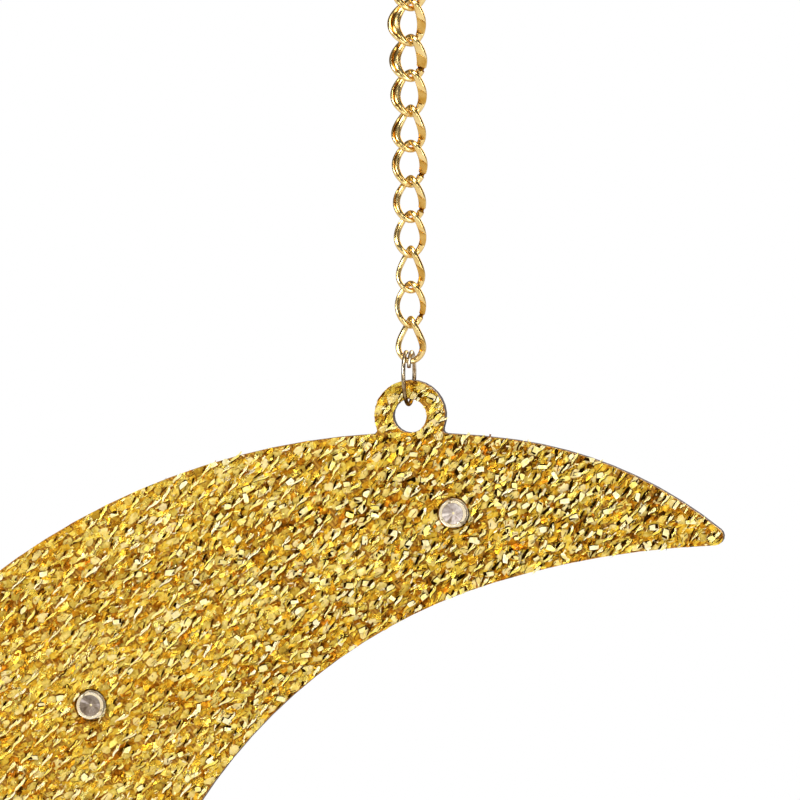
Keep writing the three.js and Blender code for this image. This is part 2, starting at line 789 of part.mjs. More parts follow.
function addTopRing(light) {
  const ring = new THREE.TorusGeometry(TOP_RING.r, TOP_RING.wire / 2, 8, 32);
  ring.rotateX(Math.PI / 2);
  const mesh = piece('hanging_ring', ring, LOOK.gold());
  mesh.position.z = TOP_RING_Z;
  mesh.rotation.z = (LINK_TWIST + linkYaw(1)) * DEG;
  light.add(mesh);
}

// The jump ring is a little more than one turn of wire, its cut ends lying side by side.
// It starts on the front below its top, goes over the top and ends just past it.
class JumpRing extends THREE.Curve {
  getPoint(t, target = new THREE.Vector3()) {
    const turn = (JUMP.start + 360 * JUMP.turns * t) * DEG;
    const side = JUMP.spread * (0.5 - t);
    return target.set(JUMP.r * Math.sin(turn), -side, JUMP.r * Math.cos(turn));
  }
}

function addJumpRing(light) {
  const mesh = piece('jump_ring', tube(new JumpRing(), JUMP.wire / 2, 8, 36), LOOK.silver());
  mesh.position.z = JUMP_Z;
  mesh.rotation.z = JUMP.yaw * DEG;
  light.add(mesh);
}

// The whole light

function buildMoon() {
  const moon = new THREE.Group();
  moon.position.copy(MOON);
  const runs = wireRuns();
  addFaces(moon);
  addLamps(moon);
  addWires(moon, runs);
  addGlue(moon, runs);
  addCase(moon, runs);
  return moon;
}

function buildLight() {
  const light = new THREE.Group();
  addTopRing(light);
  addChain(light);
  addJumpRing(light);
  light.add(buildMoon());
  return light;
}

export default buildLight();
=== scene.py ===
"""Looks for the crescent hanging light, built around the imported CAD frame."""

import math

import bmesh
import bpy
import numpy as np
from mathutils import Matrix, Vector


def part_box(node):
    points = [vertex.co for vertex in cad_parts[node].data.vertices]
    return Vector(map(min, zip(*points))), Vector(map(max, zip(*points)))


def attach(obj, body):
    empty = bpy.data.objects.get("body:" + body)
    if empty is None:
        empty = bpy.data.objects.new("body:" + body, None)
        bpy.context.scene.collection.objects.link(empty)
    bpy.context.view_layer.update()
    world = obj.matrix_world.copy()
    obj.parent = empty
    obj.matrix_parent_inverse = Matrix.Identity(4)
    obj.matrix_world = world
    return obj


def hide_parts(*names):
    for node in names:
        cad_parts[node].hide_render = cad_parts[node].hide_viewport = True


MM = 0.001
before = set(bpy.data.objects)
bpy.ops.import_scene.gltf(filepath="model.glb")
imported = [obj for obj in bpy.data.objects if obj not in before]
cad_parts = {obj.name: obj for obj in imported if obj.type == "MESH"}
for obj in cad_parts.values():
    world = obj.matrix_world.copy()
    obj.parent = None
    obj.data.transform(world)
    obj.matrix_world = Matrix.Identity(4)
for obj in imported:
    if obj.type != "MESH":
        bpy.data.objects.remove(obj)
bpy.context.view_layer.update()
rng = np.random.default_rng(7)

# Camera: the photograph is taken from a little to the right and above, through a long lens
TARGET = Vector((-2.0, 0.0, -97.2)) * MM
AZIMUTH, ELEVATION = 8.0, 2.5
DISTANCE = 1.5
PX_PER_M = 5500.0
SENSOR = 36.0
FRAME_PX = 800

# Cloth and lamps, in millimetres: y of the cloth's two faces as the part has them, y of the
# woven ground under the foil, the least and the most that foil rises over it, and how near
# to a lamp's middle the cloth comes
CLOTH_BACK, CLOTH_FRONT = -1.25, -1.85
CLOTH_GROUND = -1.55
FOIL_LOW, FOIL_TOP = 0.03, 0.95
LAMP_CLEAR_R = 2.75

# Chain and rings, in millimetres and degrees, as the part has them
LINKS = 12
PITCH = 6.4
GAP = 0.3
RING_R, RING_WIRE = 7.1, 1.4
LINK_END_D, LINK_SIDE_T = 1.05, 0.95
LINK_TWIST = 45.0
LINK_INNER = PITCH + GAP
LINK_HALF = (LINK_INNER + LINK_END_D) / 2
RING_FLOOR = -2 * RING_R + RING_WIRE
JUMP_R, JUMP_WIRE, JUMP_TURNS = 4.75, 0.75, 1.2
JUMP_SPREAD, JUMP_START, JUMP_SLACK = 1.2, -63.0, 0.45
# The silver ring hangs a little to the left and is turned, as in the photograph
JUMP_LEFT, JUMP_YAW = -0.3, 89.0

# How finely the round pieces are made: steps along the wire, and sides round it
LINK_STEPS, LINK_SIDES = 120, 32
RING_STEPS, RING_SIDES = 96, 20
JUMP_STEPS, JUMP_SIDES = 120, 16


# Small tools

def add(name, data):
    obj = bpy.data.objects.new(name, data)
    bpy.context.scene.collection.objects.link(obj)
    return obj


def mesh_object(name, verts, faces, smooth=True):
    mesh = bpy.data.meshes.new(name)
    mesh.from_pydata([tuple(v) for v in verts], [], [tuple(f) for f in faces])
    mesh.update()
    if smooth:
        mesh.polygons.foreach_set("use_smooth", [True] * len(mesh.polygons))
    return add(name, mesh)


def point_values(obj, name, values):
    """Gives each vertex a value that a material reads by its name."""
    layer = obj.data.attributes.new(name, "FLOAT", "POINT")
    layer.data.foreach_set("value", np.asarray(values, np.float32))


def in_metres(profile):
    return [(r * MM, y * MM) for r, y in profile]


def dress(obj, material, body, slot, *nodes):
    obj.data.materials.clear()
    obj.data.materials.append(material)
    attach(obj, body)
    if nodes:
        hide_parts(*nodes)
    return obj


def ring_faces(steps, sides, closed):
    faces = []
    for i in range(steps if closed else steps - 1):
        for j in range(sides):
            a, b = i * sides + j, i * sides + (j + 1) % sides
            k = ((i + 1) % steps) * sides
            faces.append((a, b, k + (j + 1) % sides, k + j))
    return faces


def tube_verts(points, radius, sides, closed=False):
    """Rings of a round tube along points, with frames carried along the path."""
    pts = [Vector(p) for p in points]
    n = len(pts)
    verts = []
    normal = None
    for i in range(n):
        before = pts[i - 1] if closed or i else pts[0]
        after = pts[(i + 1) % n] if closed or i < n - 1 else pts[-1]
        along = (after - before).normalized()
        if normal is None:
            seed = Vector((0, 1, 0)) if abs(along.y) < 0.9 else Vector((1, 0, 0))
            normal = along.cross(seed).normalized()
        normal = (normal - along * normal.dot(along)).normalized()
        side = along.cross(normal)
        for j in range(sides):
            s = 2 * math.pi * j / sides
            verts.append(pts[i] + normal * (radius * math.cos(s)) + side * (radius * math.sin(s)))
    return verts


def tube_object(name, points, radius, sides, closed=False):
    verts = tube_verts(points, radius, sides, closed)
    n = len(points)
    faces = ring_faces(n, sides, closed)
    if not closed:
        faces.append(tuple(reversed(range(sides))))
        faces.append(tuple(range((n - 1) * sides, n * sides)))
    return mesh_object(name, verts, faces)


def lathe_object(name, profile, sides):
    """A closed profile of (radius, y) turned about the Y axis."""
    verts, faces, rings = [], [], []
    for r, y in profile:
        turns = [2 * math.pi * j / sides for j in range(sides if r > 1e-9 else 1)]
        rings.append(range(len(verts), len(verts) + len(turns)))
        verts += [(r * math.cos(s), y, r * math.sin(s)) for s in turns]
    for a, b in zip(rings, rings[1:]):
        for j in range(sides):
            k = (j + 1) % sides
            corners = (a[j % len(a)], b[j % len(b)], b[k % len(b)], a[k % len(a)])
            face = tuple(dict.fromkeys(corners))
            if len(face) > 2:
                faces.append(face)
    return mesh_object(name, verts, faces)


def move(obj, offset, turn=None):
    matrix = Matrix.Translation(offset)
    if turn is not None:
        matrix = matrix @ turn
    obj.data.transform(matrix)
    return obj


def sharpen(obj, degrees):
    """Marks edges steeper than this as sharp, so that flats stay flat."""
    bm = bmesh.new()
    bm.from_mesh(obj.data)
    for e in bm.edges:
        if len(e.link_faces) == 2 and e.calc_face_angle(0) > math.radians(degrees):
            e.smooth = False
    for f in bm.faces:
        f.smooth = True
    bm.to_mesh(obj.data)
    bm.free()


def bevelled_copy(name, node, width):
    """The CAD node's shape as a new piece, its edges rounded."""
    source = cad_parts[node].data
    bm = bmesh.new()
    bm.from_mesh(source)
    bmesh.ops.remove_doubles(bm, verts=bm.verts, dist=1e-6)
    bmesh.ops.dissolve_limit(bm, angle_limit=math.radians(2), verts=bm.verts, edges=bm.edges)
    sharp = [e for e in bm.edges
             if len(e.link_faces) == 2 and e.calc_face_angle(0) > math.radians(30)]
    bmesh.ops.bevel(bm, geom=sharp, offset=width * MM, segments=2, affect="EDGES",
                    profile=0.6, clamp_overlap=True)
    mesh = bpy.data.meshes.new(name)
    bm.to_mesh(mesh)
    bm.free()
    obj = add(name, mesh)
    sharpen(obj, 40)
    return obj


# Materials

class Graph:
    """A graph of shader nodes being put together."""

    def __init__(self, owner):
        owner.use_nodes = True
        self.tree = owner.node_tree

    def node(self, kind, **values):
        made = self.tree.nodes.new(kind)
        for key, value in values.items():
            if key in made.inputs:
                made.inputs[key].default_value = value
            else:
                setattr(made, key, value)
        return made

    def link(self, source, out, target, into):
        self.tree.links.new(source.outputs[out], target.inputs[into])

    def range(self, source, out, low, high, from_low=0.0, from_high=1.0):
        ends = {"From Min": from_low, "From Max": from_high, "To Min": low, "To Max": high}
        node = self.node("ShaderNodeMapRange", **ends)
        self.link(source, out, node, "Value")
        return node

    def combine(self, operation, first, out, second, other):
        """A value made of one output of the first node and another of the second."""
        node = self.node("ShaderNodeMath", operation=operation)
        self.link(first, out, node, 0)
        self.link(second, other, node, 1)
        return node


class Look(Graph):
    """A material's graph."""

    def __init__(self, name):
        self.material = bpy.data.materials.new(name)
        super().__init__(self.material)
        self.shader = self.tree.nodes["Principled BSDF"]

    def set(self, **values):
        for key, value in values.items():
            self.shader.inputs[key.replace("_", " ")].default_value = value
        return self

    def coords(self, scale=(1, 1, 1), turn=(0, 0, 0), source="Object"):
        coord = self.node("ShaderNodeTexCoord")
        mapping = self.node("ShaderNodeMapping", Scale=scale,
                            Rotation=[math.radians(a) for a in turn])
        self.link(coord, source, mapping, "Vector")
        return mapping

    def noise(self, scale, detail=3.0, stretch=(1, 1, 1), turn=(0, 0, 0), rough=0.5):
        mapping = self.coords(stretch, turn)
        noise = self.node("ShaderNodeTexNoise", Scale=scale, Detail=detail, Roughness=rough)
        self.link(mapping, "Vector", noise, "Vector")
        return noise

    def ramp(self, source, out, stops):
        ramp = self.node("ShaderNodeValToRGB")
        elements = ramp.color_ramp.elements
        while len(elements) < len(stops):
            elements.new(0.5)
        for element, (place, colour) in zip(elements, stops):
            element.position = place
            element.color = (*colour, 1) if len(colour) == 3 else colour
        self.link(source, out, ramp, "Fac")
        return ramp

    def attribute(self, name):
        return self.node("ShaderNodeAttribute", attribute_name=name)

    def roughness(self, source, low, high):
        self.link(self.range(source, "Fac", low, high), "Result", self.shader, "Roughness")

    def blend(self, share, out, first, second):
        """The surface's colour goes from the first ramp to the second as the share rises."""
        both = self.node("ShaderNodeMix", data_type="RGBA")
        self.link(share, out, both, 0)
        self.link(first, "Color", both, 6)
        self.link(second, "Color", both, 7)
        self.link(both, 2, self.shader, "Base Color")

    def bump(self, source, out, strength, distance):
        bump = self.node("ShaderNodeBump", Strength=strength, Distance=distance)
        self.link(source, out, bump, "Height")
        self.link(bump, "Normal", self.shader, "Normal")

    def colour(self, ramp):
        self.link(ramp, "Color", self.shader, "Base Color")


# Of each metal: the tint of its reflections at a grazing angle, and its colours, deep to pale
GOLD_EDGE = (0.36, 0.17, 0.05, 1)
GOLD_RAMP = [
    (0.00, (0.200, 0.075, 0.005)),
    (0.18, (0.480, 0.240, 0.030)),
    (0.38, (0.760, 0.500, 0.160)),
    (0.55, (0.880, 0.670, 0.310)),
    (0.75, (0.970, 0.830, 0.520)),
]


def gold_metal():
    """Plated brass, its colour deeper where each piece's own value says so: painted shade in
    the grooves, on the flat cuts and at the link ends, and the dark joint of the seams.
    """
    look = Look("chain_gold").set(Metallic=1.0, Specular_Tint=GOLD_EDGE)
    shade = look.range(look.noise(450, 3), "Fac", 0.3, 0.7)
    tone = look.combine("SUBTRACT", shade, "Result", look.attribute("darkening"), "Fac")
    look.colour(look.ramp(tone, "Value", GOLD_RAMP))
    look.roughness(look.noise(4200, 3, stretch=(1, 1, 0.3)), 0.15, 0.24)
    look.bump(look.noise(900, 2), "Fac", 0.03, 0.00015)
    return look.material


SILVER_EDGE = (0.35, 0.27, 0.20, 1)
SILVER_RAMP = [
    (0.00, (0.200, 0.120, 0.050)),
    (0.30, (0.450, 0.340, 0.200)),
    (0.70, (0.760, 0.670, 0.520)),
]


def silver_metal():
    """Plated steel wire, its colour deeper towards the ring's bottom."""
    look = Look("ring_silver").set(Metallic=1.0, Specular_Tint=SILVER_EDGE)
    tone = look.combine("SUBTRACT", look.noise(700, 2), "Fac", look.attribute("darkening"), "Fac")
    look.colour(look.ramp(tone, "Value", SILVER_RAMP))
    look.roughness(look.noise(4000, 2), 0.16, 0.30)
    look.bump(look.noise(1800, 2), "Fac", 0.06, 0.0002)
    return look.material


# Crisp foil and soft ribbon, from the shade to the light
FOIL_RAMP = [
    (0.00, (0.010, 0.004, 0.000)),
    (0.14, (0.075, 0.026, 0.001)),
    (0.28, (0.390, 0.118, 0.004)),
    (0.42, (0.670, 0.345, 0.018)),
    (0.58, (0.820, 0.560, 0.060)),
    (0.74, (0.900, 0.725, 0.165)),
    (0.88, (0.920, 0.760, 0.340)),
    (1.00, (0.950, 0.830, 0.500)),
]
PAD_RAMP = [
    (0.25, (0.365, 0.205, 0.015)),
    (0.42, (0.550, 0.375, 0.054)),
    (0.60, (0.715, 0.540, 0.148)),
    (0.80, (0.810, 0.645, 0.300)),
]


def foil():
    """Thin metal foil: each piece brings its tone, which holds painted light and shade as well as
    its own colour, and how matt it is; fine lines cross it.
    """
    look = Look("foil_gold").set(Specular_IOR_Level=0.05)
    matt = look.attribute("matt")
    shift = look.range(look.noise(1400, 3), "Fac", -0.16, 0.16, 0.2, 0.8)
    tone = look.combine("ADD", look.attribute("tone"), "Fac", shift, "Result")
    crisp, soft = look.ramp(tone, "Value", FOIL_RAMP), look.ramp(tone, "Value", PAD_RAMP)
    look.blend(look.range(matt, "Fac", 0, 1, 0.45, 0.6), "Result", crisp, soft)
    look.link(look.range(matt, "Fac", 0.9, 0.25), "Result", look.shader, "Metallic")
    look.roughness(matt, 0.22, 0.6)
    wave = look.node("ShaderNodeTexWave", Scale=2.2, Distortion=3.0, Detail=2.0)
    look.link(look.coords(source="UV"), "Vector", wave, "Vector")
    look.bump(wave, "Fac", 0.35, 0.00012)
    return look.material


def cloth_ground():
    """The woven ground that shows between the bits of foil, its colour painted a deep
    orange-brown: painted shade between them.
    """
    look = Look("cloth_ground").set(Metallic=0.7, Roughness=0.45)
    wave = look.node("ShaderNodeTexWave", bands_direction="X", Scale=420, Distortion=1.5)
    look.link(look.coords(turn=(0, 42, 0)), "Vector", wave, "Vector")
    look.colour(look.ramp(wave, "Fac", [(0.2, (0.34, 0.14, 0.010)), (0.8, (0.54, 0.27, 0.025))]))
    look.bump(wave, "Fac", 0.5, 0.0002)
    return look.material


def wood():
    """Thin board: straight grain on its faces, a darker burnt edge where it was cut."""
    look = Look("board_wood").set(Roughness=0.8, Specular_IOR_Level=0.1)
    grain = look.noise(60, 5, stretch=(0.35, 1, 6), turn=(0, 12, 0), rough=0.6)
    fibre = look.noise(900, 4, stretch=(0.12, 1, 3), turn=(0, 12, 0), rough=0.7)
    mix = look.node("ShaderNodeMix", data_type="FLOAT")
    mix.inputs[0].default_value = 0.4
    look.link(grain, "Fac", mix, 2)
    look.link(fibre, "Fac", mix, 3)
    face = look.ramp(mix, 0, [(0.3, (0.46, 0.30, 0.17)), (0.5, (0.60, 0.42, 0.25)),
                              (0.7, (0.70, 0.53, 0.34))])
    edge = look.ramp(look.noise(500, 4, stretch=(1, 8, 1)), "Fac",
                     [(0.3, (0.050, 0.034, 0.026)), (0.7, (0.11, 0.078, 0.06))])
    split = look.node("ShaderNodeSeparateXYZ")
    look.link(look.node("ShaderNodeNewGeometry"), "Normal", split, "Vector")
    absolute = look.node("ShaderNodeMath", operation="ABSOLUTE")
    look.link(split, "Y", absolute, 0)
    is_face = look.node("ShaderNodeMath", operation="GREATER_THAN")
    is_face.inputs[1].default_value = 0.7
    look.link(absolute, "Value", is_face, 0)
    look.blend(is_face, 0, edge, face)
    look.bump(mix, 0, 0.25, 0.0004)
    return look.material


def clear_plastic():
    look = Look("lamp_clear").set(IOR=1.5, Transmission_Weight=0.92, Roughness=0.06)
    tone = look.noise(500, 2)
    # Painted light: the clear body is tinted cream for the gold light seen through it
    look.colour(look.ramp(tone, "Fac", [(0.3, (0.90, 0.72, 0.44)), (0.7, (1.0, 0.88, 0.64))]))
    look.bump(look.noise(1500, 2), "Fac", 0.08, 0.0002)
    return look.material


def bright_steel(name="steel", low=0.18, high=0.36):
    look = Look(name).set(Metallic=1.0)
    tone = look.noise(400, 3)
    look.colour(look.ramp(tone, "Fac", [(0.3, (0.52, 0.52, 0.53)), (0.7, (0.72, 0.72, 0.73))]))
    look.roughness(look.noise(3000, 3, stretch=(1, 1, 6)), low, high)
    look.bump(look.noise(2600, 3), "Fac", 0.12, 0.0002)
    return look.material


def plastic(name, dark, light, low=0.42, high=0.6):
    look = Look(name).set(Specular_IOR_Level=0.35)
    tone = look.noise(90, 4)
    look.colour(look.ramp(tone, "Fac", [(0.3, dark), (0.7, light)]))
    look.roughness(look.noise(700, 3), low, high)
    look.bump(look.noise(2600, 2), "Fac", 0.35, 0.0002)
    return look.material


def hot_glue():
    look = Look("glue").set(Subsurface_Weight=0.2, Subsurface_Scale=0.001)
    tone = look.noise(220, 3)
    look.colour(look.ramp(tone, "Fac", [(0.3, (0.80, 0.72, 0.55)), (0.7, (0.90, 0.86, 0.74))]))
    look.roughness(look.noise(400, 2), 0.16, 0.34)
    look.bump(look.noise(260, 2), "Fac", 0.2, 0.0005)
    return look.material


def foam():
    look = Look("foam").set(Roughness=0.95)
    cells = look.node("ShaderNodeTexVoronoi")
    cells.inputs["Scale"].default_value = 2400
    look.link(look.coords(), "Vector", cells, "Vector")
    look.colour(look.ramp(cells, "Distance", [(0.0, (0.62, 0.61, 0.57)), (0.6, (0.86, 0.85, 0.81))]))
    look.bump(cells, "Distance", 0.6, 0.0003)
    return look.material


# Camera, light and floor

def make_camera():
    data = bpy.data.cameras.new("camera")
    data.sensor_width = SENSOR
    data.lens = PX_PER_M * DISTANCE * SENSOR / FRAME_PX
    data.clip_start, data.clip_end = 0.05, 50
    cam = add("camera", data)
    a, e = math.radians(AZIMUTH), math.radians(ELEVATION)
    back = Vector((math.sin(a) * math.cos(e), -math.cos(a) * math.cos(e), math.sin(e)))
    cam.location = TARGET + back * DISTANCE
    cam.rotation_mode = "QUATERNION"
    cam.rotation_quaternion = (-back).to_track_quat("-Z", "Y")
    bpy.context.scene.camera = cam


# The studio's lamps: place, size across and up in metres, and power in watts
LIGHT_AIM = (0, 0, -0.2)
LIGHTS = {
    "key": ((-0.7, -0.85, 0.55), (0.5, 0.5), 12),
    "fill": ((0.75, -0.9, 0.0), (0.25, 1.0), 5),
    "front": ((-0.15, -1.5, 0.15), (0.4, 0.4), 3),
    "top": ((0.1, -0.25, 0.9), (0.7, 0.35), 7),
    "back": ((0.3, 0.9, 0.3), (0.5, 0.5), 5),
}

# The world's strength as light, and in the metal's reflections: this dim in front of the
# object, rising to white behind it, between these two values of the direction's y
WORLD_LEVEL = 0.45
ROOM_LEVEL, ROOM_FROM, ROOM_TO = 0.12, 0.40, 0.92


def make_world():
    """White behind the object, and for metal a dimmer room in front of it."""
    world = bpy.data.worlds.new("studio")
    bpy.context.scene.world = world
    graph = Graph(world)
    background = graph.tree.nodes["Background"]
    background.inputs["Color"].default_value = (1, 1, 1, 1)
    path = graph.node("ShaderNodeLightPath")
    split = graph.node("ShaderNodeSeparateXYZ")
    graph.link(graph.node("ShaderNodeTexCoord"), "Generated", split, "Vector")
    room = graph.range(split, "Y", ROOM_LEVEL, 1.0, ROOM_FROM, ROOM_TO)
    room.interpolation_type = "SMOOTHSTEP"
    clear = graph.combine("MAXIMUM", path, "Is Camera Ray", path, "Is Transmission Ray")
    metal = graph.node("ShaderNodeMix")
    metal.inputs[2].default_value = WORLD_LEVEL
    graph.link(path, "Is Glossy Ray", metal, 0)
    graph.link(room, "Result", metal, 3)
    level = graph.node("ShaderNodeMix")
    level.inputs[3].default_value = 1.0
    graph.link(clear, 0, level, 0)
    graph.link(metal, 0, level, 2)
    graph.link(level, 0, background, "Strength")


# The floor's height in metres, its share of plain white under the object, and the distances
# between which it turns all white
FLOOR_Z = -0.46
FLOOR_WHITE, FLOOR_FADE_FROM, FLOOR_FADE_TO = 0.3, 0.5, 1.2


def stage_plane(name, centre, across, up, material):
    c, a, u = Vector(centre), Vector(across), Vector(up)
    obj = mesh_object(name, [c - a - u, c + a - u, c + a + u, c - a + u], [(0, 1, 2, 3)], False)
    obj.data.materials.append(material)
    return obj


def floor_look():
    """A pale floor that keeps the shadow and fades into the white background."""
    look = Look("floor").set(Roughness=0.8)
    look.colour(look.ramp(look.noise(3, 3), "Fac",
                          [(0.3, (0.70, 0.70, 0.69)), (0.7, (0.74, 0.74, 0.73))]))
    distance = look.node("ShaderNodeVectorMath", operation="LENGTH")
    look.link(look.coords(), "Vector", distance, 0)
    fade = look.range(distance, "Value", FLOOR_WHITE, 1.0, FLOOR_FADE_FROM, FLOOR_FADE_TO)
    path = look.node("ShaderNodeLightPath")
    clear = look.combine("MAXIMUM", path, "Is Camera Ray", path, "Is Transmission Ray")
    seen = look.combine("MAXIMUM", clear, "Value", path, "Is Glossy Ray")
    share = look.combine("MULTIPLY", fade, "Result", seen, "Value")
    both = look.node("ShaderNodeMixShader")
    look.link(share, "Value", both, 0)
    look.link(look.shader, "BSDF", both, 1)
    look.link(look.node("ShaderNodeEmission"), "Emission", both, 2)
    look.link(both, "Shader", look.tree.nodes["Material Output"], "Surface")
    return look.material


def make_stage():
    stage_plane("floor", (0, -0.7, FLOOR_Z), (3, 0, 0), (0, 2.3, 0), floor_look())


def make_lights():
    for name, (place, size, power) in LIGHTS.items():
        data = bpy.data.lights.new(name, "AREA")
        data.shape = "RECTANGLE"
        data.size, data.size_y = size
        data.energy = power
        obj = add(name, data)
        obj.location = place
        obj.rotation_mode = "QUATERNION"
        obj.rotation_quaternion = (Vector(LIGHT_AIM) - Vector(place)).to_track_quat("-Z", "Y")


# Cloth

def front_loops(node):
    """The outline and holes of the node's front face, as lists of (x, z) in metres."""
    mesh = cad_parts[node].data
    front = min(v.co.y for v in mesh.vertices) + 1e-5
    edges = {}
    for poly in mesh.polygons:
        corners = [mesh.vertices[i].co for i in poly.vertices]
        if all(co.y < front for co in corners):
            ks = [(round(co.x * 1e6), round(co.z * 1e6)) for co in corners]
            for a, b in zip(ks, ks[1:] + ks[:1]):
                edges.setdefault(frozenset((a, b)), []).append((a, b))
    after = dict(ends[0] for ends in edges.values() if len(ends) == 1)
    loops = []
    while after:
        start = next(iter(after))
        loop, at = [start], after.pop(start)
        while at != start:
            loop.append(at)
            at = after.pop(at)
        loops.append(np.array(loop) * 1e-6)
    return sorted(loops, key=len, reverse=True)


def inside(points, loop):
    """Which points (n, 2) lie inside a closed loop."""
    result = np.zeros(len(points), bool)
    x, z = points[:, 0], points[:, 1]
    for (x1, z1), (x2, z2) in zip(loop, np.roll(loop, -1, axis=0)):
        if z1 == z2:
            continue
        hit = (z1 > z) != (z2 > z)
        result ^= hit & (x < (x2 - x1) * (z - z1) / (z2 - z1) + x1)
    return result


def nearest_on(points, loop):
    """The nearest point of a loop's line to each point."""
    best = np.full(len(points), np.inf)
    found = points.copy()
    for a, b in zip(loop, np.roll(loop, -1, axis=0)):
        d = b - a
        t = np.clip(((points - a) @ d) / max(d @ d, 1e-18), 0, 1)
        q = a + t[:, None] * d
        dist = ((points - q) ** 2).sum(1)
        closer = dist < best
        best[closer] = dist[closer]
        found[closer] = q[closer]
    return found, np.sqrt(best)


# One stitch of the cloth, in millimetres: the steps from stitch to stitch
STEP_A = np.array([3.45, -0.45])
STEP_B = np.array([2.35, 2.55])


def disc_template(sides):
    """A domed disc of unit size, a middle point and its rim: (u, v, height) and faces."""
    turns = [2 * math.pi * (j + 0.5) / sides for j in range(sides)]
    verts = [(0.0, 0.0, 1.0)] + [(math.cos(s), math.sin(s), 0.0) for s in turns]
    faces = [(0, 1 + j, 1 + (j + 1) % sides) for j in range(sides)]
    return np.array(verts), faces


def strip_template(steps, curl, taper):
    """A narrow strip along u, from -1 to 1, that bends in an S and thins at its ends."""
    verts, faces = [], []
    for i in range(steps + 1):
        u = -1 + 2 * i / steps
        wide = (1 - taper * u * u)
        middle = curl * math.sin(math.pi * u)
        for v in (-1, 0, 1):
            verts.append((u, middle + v * wide, (1 - u * u) + 0.35 * (v == 0)))
    for i in range(steps):
        for j in range(2):
            a = 3 * i + j
            faces.append((a, a + 3, a + 4, a + 1))
    return np.array(verts), faces


def flake_template():
    """A cut flake of foil, creased along its middle."""
    verts = [(-1.05, -0.85, 0), (0.05, -1, 0.35), (1, -0.8, 0), (1.05, 0.85, 0.1),
             (-0.05, 1, 0.4), (-1, 0.8, 0.1)]
    faces = [(0, 1, 4, 5), (1, 2, 3, 4)]
    return np.array(verts, float), faces


class Foil:
    """Collects pieces of foil laid on the cloth, and makes one mesh of them."""

    def __init__(self, covered):
        self.covered = covered
        self.verts, self.faces, self.tones, self.matts, self.uvs = [], [], [], [], []
        self.count = 0

    def lay(self, template, places, half, turn, tilt, height, dome, tone, matt, crumple,
            ragged=0.0, proud=0.0):
        """Lays one piece at each place: half is its half size, in mm, and turn in radians."""
        keep = self.covered(places)
        places, half, turn, tilt = places[keep], half[keep], turn[keep], tilt[keep]
        height, dome, tone, matt = height[keep], dome[keep], tone[keep], matt[keep]
        shape, faces = template
        n, m = len(places), len(shape)
        u = shape[None, :, 0] * half[:, :1] * (1 + rng.normal(0, 1, (n, m)) * ragged)
        v = shape[None, :, 1] * half[:, 1:2] * (1 + rng.normal(0, 1, (n, m)) * ragged)
        h = shape[None, :, 2] * dome[:, None]
        c, s = np.cos(turn)[:, None], np.sin(turn)[:, None]
        flat = np.stack([u * c - v * s, u * s + v * c], axis=2)
        y = height[:, None] + h + u * tilt[:, :1] + v * tilt[:, 1:2]
        y = np.clip(y + rng.normal(0, crumple, (n, m)), FOIL_LOW, FOIL_TOP)
        flat = self.trimmed(np.repeat(places[:, None], m, axis=1), flat, proud)
        verts = np.concatenate([flat[..., :1], -y[..., None], flat[..., 1:]], axis=2)
        self.verts.append(verts.reshape(-1, 3) + [0, CLOTH_GROUND, 0])
        base = self.count + np.arange(n)[:, None] * m
        self.faces += [base + np.array(face)[None, :] for face in faces]
        self.tones.append(np.repeat(tone, m))
        self.matts.append(np.repeat(matt, m))
        uv = np.broadcast_to(shape[None, :, :2], (n, m, 2)) + rng.uniform(0, 9, (n, 1, 2))
        self.uvs.append(uv.reshape(-1, 2))
        self.count += n * m

    def trimmed(self, middle, offset, proud):
        """Draws each corner that lies off the cloth back towards its piece's middle."""
        shape = offset.shape
        middle, offset = middle.reshape(-1, 2), offset.reshape(-1, 2)
        off = np.flatnonzero(~self.covered(middle + offset))
        if proud:
            off = off[rng.uniform(0, 1, len(off)) > proud]
        low, high = np.zeros(len(off)), np.ones(len(off))
        for _ in range(6):
            half = (low + high) / 2
            good = self.covered(middle[off] + offset[off] * half[:, None])
            low, high = np.where(good, half, low), np.where(good, high, half)
        offset[off] *= low[:, None]
        return (middle + offset).reshape(shape)

    def build(self, name):
        verts = np.concatenate(self.verts)
        faces = [tuple(f) for block in self.faces for f in block.tolist()]
        obj = mesh_object(name, verts * MM, faces, smooth=False)
        mesh = obj.data
        for label, values in (("tone", self.tones), ("matt", self.matts)):
            point_values(obj, label, np.concatenate(values))
        uv = np.concatenate(self.uvs)
        corner = np.zeros(len(mesh.loops), np.int32)
        mesh.loops.foreach_get("vertex_index", corner)
        layer = mesh.uv_layers.new(name="UVMap")
        layer.data.foreach_set("uv", uv[corner].astype(np.float32).ravel())
        return obj


def stitch_places(outline):
    """The middle of every stitch that lies on the crescent, in mm."""
    lo, hi = outline.min(0) - 6, outline.max(0) + 6
    centre = (lo + hi) / 2
    reach = int(max(hi - lo) / 2) + 20
    i, j = np.meshgrid(np.arange(-reach, reach), np.arange(-reach, reach))
    places = centre + i.reshape(-1, 1) * STEP_A + j.reshape(-1, 1) * STEP_B
    keep = ((places > lo) & (places < hi)).all(1)
    places = places[keep]
    wave = np.sin(places[:, 0] * 0.09 + places[:, 1] * 0.05)
    places = places + np.stack([0.5 * wave, 0.4 * wave], 1)
    near = inside(places, outline) | (nearest_on(places, outline)[1] < 3)
    return places[near]


